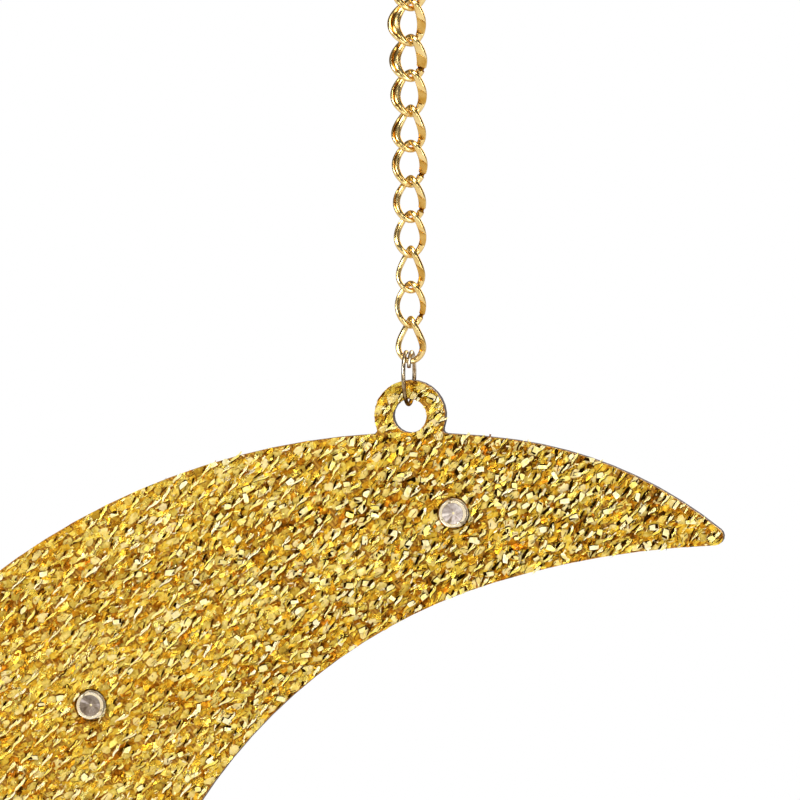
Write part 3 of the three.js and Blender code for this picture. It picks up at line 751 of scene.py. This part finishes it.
class Grid:
    """Quick test of which points the cloth covers, on a fine grid of squares."""

    def __init__(self, outline, holes, step=0.06):
        self.low, self.step = outline.min(0) - 1, step
        size = np.ceil((outline.max(0) + 1 - self.low) / step).astype(int)
        self.cells = np.zeros(size, bool)
        for row in range(size[1]):
            z = self.low[1] + (row + 0.5) * step
            for loop in [outline, *holes]:
                a, b = loop, np.roll(loop, -1, axis=0)
                cut = (a[:, 1] > z) != (b[:, 1] > z)
                t = (z - a[cut, 1]) / (b[cut, 1] - a[cut, 1])
                for x in a[cut, 0] + t * (b[cut, 0] - a[cut, 0]):
                    at = int(np.ceil((x - self.low[0]) / step - 0.5))
                    self.cells[at:, row] ^= True

    def __call__(self, points):
        at = ((points - self.low) / self.step).astype(int)
        good = ((at >= 0) & (at < self.cells.shape)).all(-1)
        at = np.where(good[..., None], at, 0)
        return self.cells[at[..., 0], at[..., 1]] & good


PROUD = 0.45   # share of the foil's corners that may stand over the cloth's edge

# The cloth is soft at the left and crisp at the right, where its painted shade is darker and
# its painted highlights paler and more: x in mm where it starts to turn, and over how much
CRISP_FROM, CRISP_OVER = -60.0, 80.0

# In millimetres from a stitch's middle: the folds round it, each with its tone of painted
# shade, the hollow beside it, a near-black piece of painted shade, and the strip over that
FOLDS = ((-0.6, 1.3, 0.54), (1.1, 1.3, 0.50), (-1.5, -0.9, 0.50), (0.5, -1.25, 0.36),
         (1.9, -0.7, 0.42))
HOLLOW_AT, STRIP_AT = (1.22, 0.48), (1.62, 0.12)
# The slits are painted shade, dark lines in the creases
BITS, SLITS = 9, 7   # small bright bits and dark slits for each stitch

# Bits at the cloth's cut edge round each lamp: how many, and how far from its middle in mm
EDGE_BITS, EDGE_AT = 26, 2.86


class Draws:
    """Random values for a number of pieces at once."""

    def __init__(self, count):
        self.count = count

    def jitter(self, amount):
        return rng.normal(0, amount, (self.count, 2))

    def within(self, reach):
        return rng.uniform(-reach, reach, (self.count, 2))

    def spread(self, low, high):
        return rng.uniform(low, high, self.count)

    def about(self, mean, amount):
        return rng.normal(mean, amount, self.count)

    def pair(self, low_a, high_a, low_b, high_b):
        return np.stack([self.spread(low_a, high_a), self.spread(low_b, high_b)], 1)

    def tones(self, mean, amount):
        return np.clip(self.about(mean, amount), 0, 1)


def lay_ground(foil_piece, places, draw, sharp, shade_patch):
    """Folds in the shade, gold to deep orange, and over them flat pads of soft tan ribbon."""
    # Painted shade: the folds and pads are painted a deeper orange in patches
    for dx, dz, mean in FOLDS:
        foil_piece.lay(
            flake_template(), places + [dx, dz] + draw.jitter(0.35),
            draw.pair(0.7, 1.35, 0.35, 0.65), draw.spread(0.1, 1.3), draw.jitter(0.32),
            draw.spread(0.06, 0.22), draw.spread(0.02, 0.2),
            draw.tones(mean, 0.12) - 0.10 * shade_patch - 0.03 * sharp + 0.03,
            draw.spread(0.0, 0.4), 0.05, 0.15)
    foil_piece.lay(
        disc_template(9), places + draw.jitter(0.22), draw.pair(0.85, 1.3, 0.55, 0.85),
        draw.spread(0.2, 1.0), draw.jitter(0.14) + [0.02, 0.06], draw.spread(0.26, 0.40),
        draw.spread(0.02, 0.16), draw.tones(0.52, 0.11) - 0.06 * shade_patch + 0.14 * sharp,
        draw.spread(0.5, 0.95), 0.04, 0.2)


def lay_bits(foil_piece, places, draw, sharp):
    """Small crumpled bits over the pads' edges, and painted shade: dark slits in the creases and
    the nearly black hollows.
    """
    deeper = (0.8 + 0.5 * sharp)[:, None]
    for _ in range(BITS):
        foil_piece.lay(
            flake_template(), places + draw.within(1.9), draw.pair(0.18, 0.6, 0.05, 0.17),
            draw.about(0.75, 0.5), draw.jitter(0.4), draw.spread(0.36, 0.55),
            draw.spread(0.0, 0.2), draw.tones(0.63, 0.16 + 0.12 * sharp) + 0.03 * sharp,
            draw.spread(0.0, 0.4), 0.05, 0.2, proud=PROUD)
    for _ in range(SLITS):
        foil_piece.lay(
            flake_template(), places + draw.within(1.8),
            draw.pair(0.2, 0.6, 0.03, 0.07) * deeper, draw.about(0.8, 0.45), draw.jitter(0.1),
            draw.spread(0.50, 0.62), np.zeros(draw.count),
            draw.tones(0.19, 0.08) - 0.14 * sharp, draw.spread(0.0, 0.2), 0.01, 0.2)
    foil_piece.lay(
        disc_template(7), places + HOLLOW_AT + draw.jitter(0.15),
        draw.pair(0.55, 1.05, 0.14, 0.29) * deeper, draw.about(1.02, 0.18), draw.jitter(0.12),
        draw.spread(0.58, 0.64), draw.spread(-0.04, 0.0),
        draw.tones(0.10, 0.05) - 0.11 * sharp, draw.spread(0.0, 0.2), 0.01, 0.2)


def lay_strips(foil_piece, places, draw, sharp):
    """Strips painted pale, a painted highlight, that rise to the right beside the hollows, each
    with its shadow painted as a dark strip below it and a paler flake of painted highlight on it.
    """
    n = draw.count
    turn, long = draw.about(0.80, 0.17), draw.pair(0.85, 1.8, 0.13, 0.26)
    long[:, 0] *= 1 - 0.25 * sharp
    lean = np.stack([draw.about(0.03, 0.08), draw.about(0.15, 0.25)], 1)
    at = places + STRIP_AT + draw.jitter(0.2)
    strip = strip_template(6, -0.6, 0.5)
    foil_piece.lay(
        strip, at + [0.11, -0.13], long * [1.0, 0.8], turn, lean * 0, np.full(n, 0.60),
        np.zeros(n), draw.tones(0.27, 0.08) - 0.24 * sharp, draw.spread(0.0, 0.2), 0.01)
    foil_piece.lay(
        strip, at, long, turn, lean, draw.spread(0.66, 0.72), draw.spread(0.04, 0.12),
        draw.tones(0.80, 0.09), draw.spread(0.0, 0.3), 0.01, proud=PROUD)
    foil_piece.lay(
        flake_template(), at + [0.16, 0.38] + draw.jitter(0.08),
        draw.pair(0.3, 0.7, 0.12, 0.24), turn + draw.about(0.15, 0.12),
        np.stack([draw.about(0.1, 0.1), draw.about(0.2, 0.2)], 1), draw.spread(0.74, 0.80),
        draw.spread(0.0, 0.06), draw.tones(0.85, 0.08) + 0.06 * sharp,
        draw.spread(0.0, 0.2), 0.01)


def lay_lamp_edges(foil_piece, lamps):
    """The cloth's cut edge round each lamp, painted dark: painted shade."""
    s = np.arange(EDGE_BITS) * 2 * math.pi / EDGE_BITS
    rim = np.concatenate([m + EDGE_AT * np.stack([np.cos(s), np.sin(s)], 1) for m in lamps])
    n = len(rim)
    foil_piece.lay(
        flake_template(), rim, np.full((n, 2), [0.42, 0.12]), np.tile(s, len(lamps)) + math.pi / 2,
        np.zeros((n, 2)), np.full(n, 0.78), np.zeros(n), rng.normal(0.08, 0.05, n),
        np.full(n, 0.1), 0.01, 0.1)


def lay_flakes(foil_piece, places, draw, sharp):
    """Cut flakes painted pale, a painted highlight, each with its shadow painted as a dark flake
    beside it, more of them to the right.
    """
    places = places[draw.spread(0, 1) < 0.06 + 0.79 * sharp]
    draw = Draws(len(places))
    n = draw.count
    at, half = places + [0.2, 0.5] + draw.jitter(0.8), draw.pair(0.45, 0.88, 0.34, 0.58)
    turn = draw.about(0.45, 0.6)
    foil_piece.lay(
        flake_template(), at + [-0.14, 0.12], half * [1.05, 1.0], turn, np.zeros((n, 2)),
        np.full(n, 0.73), np.zeros(n), draw.tones(0.04, 0.03), draw.spread(0.0, 0.2), 0.01, 0.1)
    foil_piece.lay(
        flake_template(), at, half, turn, draw.jitter(0.2), draw.spread(0.76, 0.84),
        draw.spread(0.0, 0.08), draw.tones(0.88, 0.06), draw.spread(0.25, 0.42), 0.02, 0.1,
        proud=PROUD)


def lay_foil(foil_piece, places, lamps):
    """Every stitch is a pad of ribbon, hollows and folds beside it, and strips over it."""
    sharp = np.clip((places[:, 0] - CRISP_FROM) / CRISP_OVER, 0, 1)
    # Patches of painted shade, where folds and pads are painted a deeper orange
    shade_patch = np.sin(places[:, 0] * 0.21 + 1.3) * np.sin(places[:, 1] * 0.27 + places[:, 0] * 0.11)
    draw = Draws(len(places))
    places = places + draw.jitter(0.22)
    lay_ground(foil_piece, places, draw, sharp, shade_patch)
    lay_bits(foil_piece, places, draw, sharp)
    lay_strips(foil_piece, places, draw, sharp)
    lay_lamp_edges(foil_piece, lamps)
    lay_flakes(foil_piece, places, draw, sharp)


def make_cloth():
    loops = [loop / MM for loop in front_loops("glitter_cloth")]
    outline, holes = loops[0], loops[1:]
    places = stitch_places(outline)
    lamps = lamp_places()

    grid = Grid(outline, holes)

    def covered(points):
        good = grid(points)
        for middle in lamps:
            good &= np.linalg.norm(points - middle, axis=-1) > LAMP_CLEAR_R
        return good

    foil_piece = Foil(covered)
    lay_foil(foil_piece, places, lamps)
    foil_obj = foil_piece.build("glitter_foil")
    dress(foil_obj, foil(), "moon", "cloth_gold")

    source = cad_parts["glitter_cloth"].data
    back = CLOTH_BACK * MM
    front = (CLOTH_GROUND - CLOTH_BACK) / (CLOTH_FRONT - CLOTH_BACK)
    verts = [(v.co.x, (v.co.y - back) * front + back, v.co.z) for v in source.vertices]
    base = mesh_object("glitter_cloth_ground", verts, [tuple(p.vertices) for p in source.polygons],
                       smooth=False)
    dress(base, cloth_ground(), "moon", "cloth_gold", "glitter_cloth")


# Lamps

def lamp_places():
    """The middle of each lamp in mm, read from the CAD."""
    places = []
    for i in range(1, 7):
        lo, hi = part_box(f"led_{i}")
        places.append(np.array([(lo.x + hi.x) / 2, (lo.z + hi.z) / 2]) / MM)
    return places


# A lamp's pieces, as (radius, y) in mm: its body from the hollow in front round the rim to
# the flange, the rows of the hollow, the die at its bottom and the cup inside
LAMP_PROFILE = [
    (0.0, -1.75), (0.25, -1.95), (1.95, -3.10), (2.02, -3.15), (2.30, -3.15), (2.42, -3.11),
    (2.49, -3.03), (2.50, -2.93), (2.50, 1.24), (2.56, 1.30), (2.84, 1.30), (2.90, 1.36),
    (2.90, 2.22), (2.84, 2.30), (0.0, 2.30),
]
CONE_ROWS = [(0.16, -1.92), (0.6, -2.20), (1.1, -2.54), (1.6, -2.88), (1.84, -3.04),
             (1.93, -3.10)]
CONE_LIFT = 0.03   # the hollow's skin stands this far in front of the body
DIE_PROFILE = [(0.0, -2.02), (0.2, -2.0), (0.3, -1.94), (0.0, -1.93)]
CUP_PROFILE = [(0.0, -0.30), (0.35, -0.32), (0.75, -0.75), (0.90, -0.75), (0.90, 0.6),
               (0.0, 0.6)]
CUP_LEFT = -0.35
CONE_SIDES = 40
# How light each lamp's hollow is painted: painted light and shade, for the lamps are alike
CONE_TONES = {1: 0.55, 2: 0.24, 3: 0.45, 4: 0.5, 5: 0.35, 6: 0.5}
# Painted reflections in the hollow, brighter and darker wedges: first side, how many sides,
# and their tone
CONE_WEDGES = ((31, 3, -0.30), (25, 2, 0.38), (8, 3, 0.12), (18, 4, -0.10))
# The two posts inside a lamp, as (x to either side, y, z) in mm
POST_CORNERS = (
    (0.72, -0.9, -0.4), (1.5, -0.9, -0.4), (1.5, -0.9, 0.4), (0.72, -0.9, 0.4),
    (1.02, 2.2, -0.25), (1.52, 2.2, -0.25), (1.52, 2.2, 0.25), (1.02, 2.2, 0.25))
POST_FACES = [(0, 1, 2, 3), (7, 6, 5, 4), (0, 4, 5, 1), (1, 5, 6, 2), (2, 6, 7, 3),
              (3, 7, 4, 0)]
LAMP_SPIN = 0.7   # radians that each lamp is turned more than the one before


def lamp_cone(name, tone):
    """The frosted hollow in a lamp's front, with flutes, and painted reflections down its side:
    brighter and darker wedges, a brighter middle and a darker rim.
    """
    verts, tones = [], []
    tip, rim = CONE_ROWS[0][0], CONE_ROWS[-1][0]
    flute = rng.uniform(-0.03, 0.03, CONE_SIDES)
    wedge = rng.normal(0, 0.05, CONE_SIDES)
    for at, width, more in CONE_WEDGES:
        wedge[np.arange(at, at + width) % CONE_SIDES] += more
    for r, y in CONE_ROWS:
        for j in range(CONE_SIDES):
            s = 2 * math.pi * j / CONE_SIDES
            deep = flute[j] * (r - tip) * (rim - r) * 2.0
            verts.append((r * math.cos(s) * MM, (y - CONE_LIFT + deep) * MM,
                          r * math.sin(s) * MM))
            # A painted highlight in the middle and painted shade at the rim
            ring = 0.12 if r == tip else -0.4 if r == rim else 0.0
            tones.append(tone + wedge[j] * min(1, r) + ring + rng.normal(0, 0.05))
    faces = ring_faces(len(CONE_ROWS), CONE_SIDES, False)
    faces.append(tuple(range(CONE_SIDES)))
    obj = mesh_object(name, verts, faces, smooth=False)
    point_values(obj, "tone", np.clip(tones, 0, 1))
    return obj


# The hollow's skin: its colour follows each piece's tone, painted reflections and shade
def frosted_plastic():
    look = Look("lamp_frosted").set(IOR=1.45, Transmission_Weight=0.12, Roughness=0.28)
    shift = look.range(look.noise(1500, 3), "Fac", -0.15, 0.15, 0.25, 0.75)
    tone = look.combine("ADD", look.attribute("tone"), "Fac", shift, "Result")
    look.colour(look.ramp(tone, "Value", [
        (0.0, (0.070, 0.042, 0.022)), (0.3, (0.22, 0.165, 0.12)), (0.6, (0.47, 0.40, 0.37)),
        (1.0, (0.85, 0.78, 0.72))]))
    look.bump(look.noise(2500, 2), "Fac", 0.2, 0.0002)
    return look.material


def lamp_die():
    look = Look("lamp_die").set(Roughness=0.5)
    tone = look.noise(3000, 2)
    look.colour(look.ramp(tone, "Fac", [(0.3, (0.60, 0.48, 0.18)), (0.7, (0.88, 0.78, 0.46))]))
    return look.material


def lamp_frame(i, place, spin):
    """The steel cup and the two posts inside a lamp."""
    cup = lathe_object(f"lamp_{i}_cup", in_metres(CUP_PROFILE), 24)
    parts = [move(cup, place + spin @ Vector((CUP_LEFT * MM, 0, 0)), spin)]
    for side, sign in (("post", 1), ("anvil", -1)):
        verts = [Vector((sign * x * MM, y * MM, z * MM)) for x, y, z in POST_CORNERS]
        post = mesh_object(f"lamp_{i}_{side}", verts, POST_FACES, smooth=False)
        parts.append(move(post, place, spin))
    return parts


def make_lamps():
    clear, steel = clear_plastic(), bright_steel("lamp_frame", 0.2, 0.35)
    frosted, die = frosted_plastic(), lamp_die()
    for i, (x, z) in enumerate(lamp_places(), 1):
        place = Vector((x, 0, z)) * MM
        spin = Matrix.Rotation(LAMP_SPIN * i, 4, "Y")
        body = lathe_object(f"lamp_{i}", in_metres(LAMP_PROFILE), 48)
        sharpen(body, 50)
        dress(move(body, place, spin), clear, "moon", "lamp_clear", f"led_{i}")
        cone = lamp_cone(f"lamp_{i}_cone", CONE_TONES[i])
        dress(move(cone, place, spin), frosted, "moon", "lamp_clear")
        dot = lathe_object(f"lamp_{i}_die", in_metres(DIE_PROFILE), 16)
        dress(move(dot, place), die, "moon", "lamp_clear")
        for part in lamp_frame(i, place, spin):
            dress(part, steel, "moon", "steel")


# Chain and rings

def link_top(k):
    return RING_FLOOR + GAP - PITCH * (k - 1)


def link_yaw(k):
    """Degrees that link k is turned about the chain's line: the links rock in turn."""
    rock = 4 + 0.5 * k
    return -k + (rock if k % 2 else -rock)


# Each link's sides, in mm from the chain's line: left outer and inner edge, right inner and
# outer edge, how much its top narrows, and whether its ends show where they meet
LINK_SHAPES = {
    1: (-3.4, -1.9, 1.3, 3.0, 0.0, False),
    2: (-3.5, -1.9, 1.3, 3.0, 0.2, False),
    3: (-4.3, -1.95, 1.1, 2.75, 0.05, False),
    4: (-4.1, -1.95, 1.1, 3.05, -0.05, True),
    5: (-3.75, -1.85, 1.3, 2.9, 0.1, False),
    6: (-3.6, -1.85, 1.3, 2.75, 0.24, False),
    7: (-3.5, -2.1, 1.55, 3.05, 0.0, True),
    8: (-3.45, -2.15, 1.5, 2.9, -0.03, True),
    9: (-3.1, -2.0, 1.55, 2.8, 0.14, False),
    10: (-2.75, -1.95, 1.4, 2.65, 0.2, False),
    11: (-2.95, -2.05, 1.7, 2.8, -0.03, True),
    12: (-2.8, -1.85, 1.55, 2.85, 0.26, False),
}
# The flat cut on a link's right side: its upper and lower end in mm from the link's middle,
# its place as a share of the side's thickness, how its upper end slants, and the cosine of
# the angle round the link where it stops
FACET_TOP, FACET_LOW, FACET_DEPTH, FACET_SLANT, FACET_FROM = 0.7, -1.9, 0.4, 0.7, 0.35
# The groove along a broad left side: its greatest depth as a share of the side's thickness,
# its place and half its width in degrees round the wire from the outer side, the side's
# width in mm from which there is one, and over how much more it grows
GROOVE_DEPTH = 0.6
GROOVE_AT, GROOVE_HALF = 78.75, 25.0
GROOVE_FROM, GROOVE_OVER = 0.9, 0.6
END_D = 1.0      # the ends' wire in mm, thinner than the part's, so that links have room
EGG_EASE = 0.7   # keeps a narrow link's ends round, so that the next link has room
SQUARE = 0.3     # how square the hammered sides are
# Where a link's ends meet: its height and half height as shares of the link's half, and how
# far it is drawn in
SEAM_AT, SEAM_HALF, SEAM_WAIST = -0.5, 0.05, 0.7
# How much deeper the colour is in each place: painted shade in the groove, on the flat cut
# and at the ends, where the links hang in each other, and the dark joint of the seam
GROOVE_SHADE, FACET_SHADE, END_SHADE, SEAM_WORN = 0.55, 0.26, 0.06, 1.0


def twisted(x, z, height):
    """A point of the flat link, turned about the chain's line by its height."""
    turn = -math.radians(LINK_TWIST) * height / LINK_HALF
    return Vector((x * math.cos(turn), x * math.sin(turn), z))


def link_middle(shape, t):
    """The middle of the wire at the angle t round the link."""
    left_out, left_in, right_in, right_out, egg, _ = shape
    left, right = -(left_out + left_in) / 2, (right_in + right_out) / 2
    c, high = math.cos(t), math.sin(t)
    x = (right + left) / 2 * c + (right - left) / 2 * c * c
    narrow = egg * high * (1 - EGG_EASE * high * high)
    return twisted(x * (1 - narrow), LINK_HALF * high, LINK_HALF * high)


def link_axes(shape, t):
    """The wire's middle, its direction out of the link, and the one across its face."""
    middle = link_middle(shape, t)
    along = (link_middle(shape, t + 0.01) - link_middle(shape, t - 0.01)).normalized()
    out = twisted(math.cos(t) / 3, math.sin(t) / LINK_HALF, middle.z)
    out = (out - along * out.dot(along)).normalized()
    return middle, out, along.cross(out)


def squared(value, power):
    return math.copysign(abs(value) ** power, value)


def link_ring(shape, t):
    """The points round the wire at the angle t, grooved or cut flat, and how much deeper each
    one's colour is: painted shade, and the dark joint of the seam.
    """
    left_out, left_in, right_in, right_out, _, seam = shape
    wide_left, wide_right = left_in - left_out, right_out - right_in
    groove = GROOVE_DEPTH * min(1, max(0, (wide_left - GROOVE_FROM) / GROOVE_OVER))
    p, out, across = link_axes(shape, t)
    c = math.cos(t)
    flat = c * c
    wide = wide_right if c > 0 else wide_left
    a = (END_D + (wide - END_D) * flat) / 2
    b = (END_D + (LINK_SIDE_T - END_D) * flat) / 2
    is_seam = seam and c > 0 and abs(math.sin(t) - SEAM_AT) < SEAM_HALF
    verts, darkening = [], []
    for j in range(LINK_SIDES):
        s = 2 * math.pi * j / LINK_SIDES
        u, v = (squared(w, 1 - SQUARE * flat) for w in (math.cos(s), math.sin(s)))
        # Painted shade: a little at the ends, where the links hang in each other, more in the groove
        # and on the flat cut; the seam is the real dark joint
        shade_and_seam = END_SHADE * (1 - flat)
        if c < 0:
            around = math.degrees(math.acos(math.cos(s)))
            valley = max(0, 1 - abs(around - GROOVE_AT) / GROOVE_HALF)
            v *= 1 - groove * flat * (1 - math.sqrt(1 - valley * valley))
            shade_and_seam += GROOVE_SHADE * groove * flat * valley
        point = p + out * (a * u) + across * (b * v)
        if c > FACET_FROM and FACET_LOW < p.z < FACET_TOP - FACET_SLANT * u:
            if point.y < p.y - FACET_DEPTH * b:
                point.y = p.y - FACET_DEPTH * b
                shade_and_seam = FACET_SHADE
        if is_seam:
            point = p + (point - p) * SEAM_WAIST
            shade_and_seam = SEAM_WORN
        verts.append(point)
        darkening.append(shade_and_seam)
    return verts, darkening


def make_chain(gold):
    faces = ring_faces(LINK_STEPS, LINK_SIDES, True)
    for k in range(1, LINKS + 1):
        rings = [link_ring(LINK_SHAPES[k], 2 * math.pi * i / LINK_STEPS)
                 for i in range(LINK_STEPS)]
        verts = [v * MM for ring, _ in rings for v in ring]
        obj = mesh_object(f"gold_link_{k:02d}", verts, faces)
        point_values(obj, "darkening", [w for _, darkening in rings for w in darkening])
        turn = Matrix.Rotation(math.radians(link_yaw(k)), 4, "Z")
        move(obj, Vector((0, 0, link_top(k) - LINK_INNER / 2)) * MM, turn)
        sharpen(obj, 38)
        dress(obj, gold, f"link_{k:02d}", "chain_gold", f"chain_link_{k:02d}")


def make_top_ring(gold):
    turns = [2 * math.pi * i / RING_STEPS for i in range(RING_STEPS)]
    points = [(RING_R * math.sin(s) * MM, 0, RING_R * math.cos(s) * MM) for s in turns]
    ring = tube_object("gold_ring", points, RING_WIRE / 2 * MM, RING_SIDES, closed=True)
    turn = Matrix.Rotation(math.radians(LINK_TWIST + link_yaw(1)), 4, "Z")
    move(ring, Vector((0, 0, -(RING_R - RING_WIRE / 2))) * MM, turn)
    dress(ring, gold, "ring", "chain_gold", "hanging_ring")


def make_jump_ring():
    floor = link_top(LINKS) - LINK_INNER
    height = floor + GAP + JUMP_SLACK + JUMP_WIRE / 2 - JUMP_R
    points = []
    for i in range(JUMP_STEPS + 1):
        t = i / JUMP_STEPS
        s = math.radians(JUMP_START + 360 * JUMP_TURNS * t)
        side = JUMP_SPREAD * (0.5 - t)
        points.append(Vector((JUMP_R * math.sin(s), -side, JUMP_R * math.cos(s))) * MM)
    ring = tube_object("silver_ring", points, JUMP_WIRE / 2 * MM, JUMP_SIDES)
    sharpen(ring, 50)
    # The colour deepens towards the ring's bottom
    low = np.array([-v.co.z / (JUMP_R * MM) for v in ring.data.vertices])
    point_values(ring, "darkening", np.clip(0.5 * low + 0.25, 0, 0.5))
    move(ring, Vector((JUMP_LEFT, 0, height)) * MM,
         Matrix.Rotation(math.radians(JUMP_YAW), 4, "Z"))
    dress(ring, silver_metal(), "jump_ring", "ring_silver", "jump_ring")


# Back of the moon

# The sticky pad: the step between its outline's points, its layers, and how far its sides
# lie in at the faces, bulge between them and waver, in mm
PAD_STEP, PAD_LAYERS = 0.6, 7
PAD_INSET, PAD_BULGE, PAD_ROUGH = 0.3, 0.42, 0.05


def resampled(loop, step):
    """The same closed line with its points about one step apart."""
    ends = np.roll(loop, -1, axis=0)
    points = []
    for a, b in zip(loop, ends):
        n = max(1, int(np.linalg.norm(b - a) / step))
        points += [a + (b - a) * i / n for i in range(n)]
    return np.array(points)


def make_foam_pad():
    """The sticky pad under the case: its soft sides bulge, its two faces lie flat."""
    lo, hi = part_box("foam_pad")
    loop = resampled(front_loops("foam_pad")[0], PAD_STEP * MM)
    along = np.roll(loop, -1, axis=0) - np.roll(loop, 1, axis=0)
    along /= np.linalg.norm(along, axis=1)[:, None]
    x, z = loop.T
    area = (x * np.roll(z, -1) - z * np.roll(x, -1)).sum()
    out = np.stack([along[:, 1], -along[:, 0]], 1) * np.sign(area)
    n = len(loop)
    verts = []
    for t in np.linspace(0, 1, PAD_LAYERS):
        swell = math.sin(math.pi * t)
        off = PAD_BULGE * swell - PAD_INSET + PAD_ROUGH * swell * rng.normal(0, 1, n)
        flat = loop + out * off[:, None] * MM
        y = lo.y + (hi.y - lo.y) * t
        verts += [(px, y, pz) for px, pz in flat]
    faces = ring_faces(PAD_LAYERS, n, False)
    faces.append(tuple(range(n)))
    faces.append(tuple(reversed(range((PAD_LAYERS - 1) * n, PAD_LAYERS * n))))
    pad = mesh_object("sticky_pad", verts, faces)
    bm = bmesh.new()
    bm.from_mesh(pad.data)
    bmesh.ops.recalc_face_normals(bm, faces=bm.faces)
    bm.to_mesh(pad.data)
    bm.free()
    sharpen(pad, 50)
    dress(pad, foam(), "moon", "foam", "foam_pad")


def paint(node, material):
    """Gives a carried-over CAD node a better material."""
    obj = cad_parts[node]
    for slot in obj.material_slots:
        slot.material = material


def make_back():
    paint("crescent_board", wood())
    red = plastic("wire_red", (0.45, 0.02, 0.015), (0.62, 0.04, 0.03), low=0.2, high=0.35)
    black = plastic("wire_black", (0.012, 0.012, 0.014), (0.03, 0.03, 0.033), low=0.2, high=0.35)
    for wire, colour in (("wire_positive", red), ("wire_negative", black)):
        paint(wire, colour)
        paint(wire + "_short", colour)
    glue = hot_glue()
    for i in range(1, 5):
        paint(f"glue_dot_{i}", glue)
    steel = bright_steel()
    for i in range(1, 7):
        paint(f"led_{i}_anode", steel)
        paint(f"led_{i}_cathode", steel)
    black_case = plastic("case_black", (0.012, 0.012, 0.013), (0.024, 0.024, 0.026))
    knob = plastic("knob", (0.02, 0.02, 0.022), (0.04, 0.04, 0.044))
    for name, node, width, material, body, slot in (
            ("case_shell", "battery_case", 0.35, black_case, "moon", "case_black"),
            ("case_lid", "battery_lid", 0.15, black_case, "battery_lid", "case_black"),
            ("switch_knob", "switch_slider", 0.15, knob, "switch_slider", "knob_black"),
            ("switch_plate", "switch_frame", 0.12, steel, "moon", "steel")):
        dress(bevelled_copy(name, node, width), material, body, slot, node)
    can = bright_steel("cell_can", 0.25, 0.4)
    for side in "ab":
        paint(f"battery_{side}", can)
        paint(f"spring_{side}", steel)
    for node in ("contact_bridge", "contact_positive", "contact_negative"):
        paint(node, steel)


make_camera()
make_world()
make_lights()
make_stage()
make_cloth()
make_lamps()
chain_gold = gold_metal()
make_chain(chain_gold)
make_top_ring(chain_gold)
make_jump_ring()
make_back()
make_foam_pad()

scene = bpy.context.scene
scene.view_settings.view_transform = "Standard"
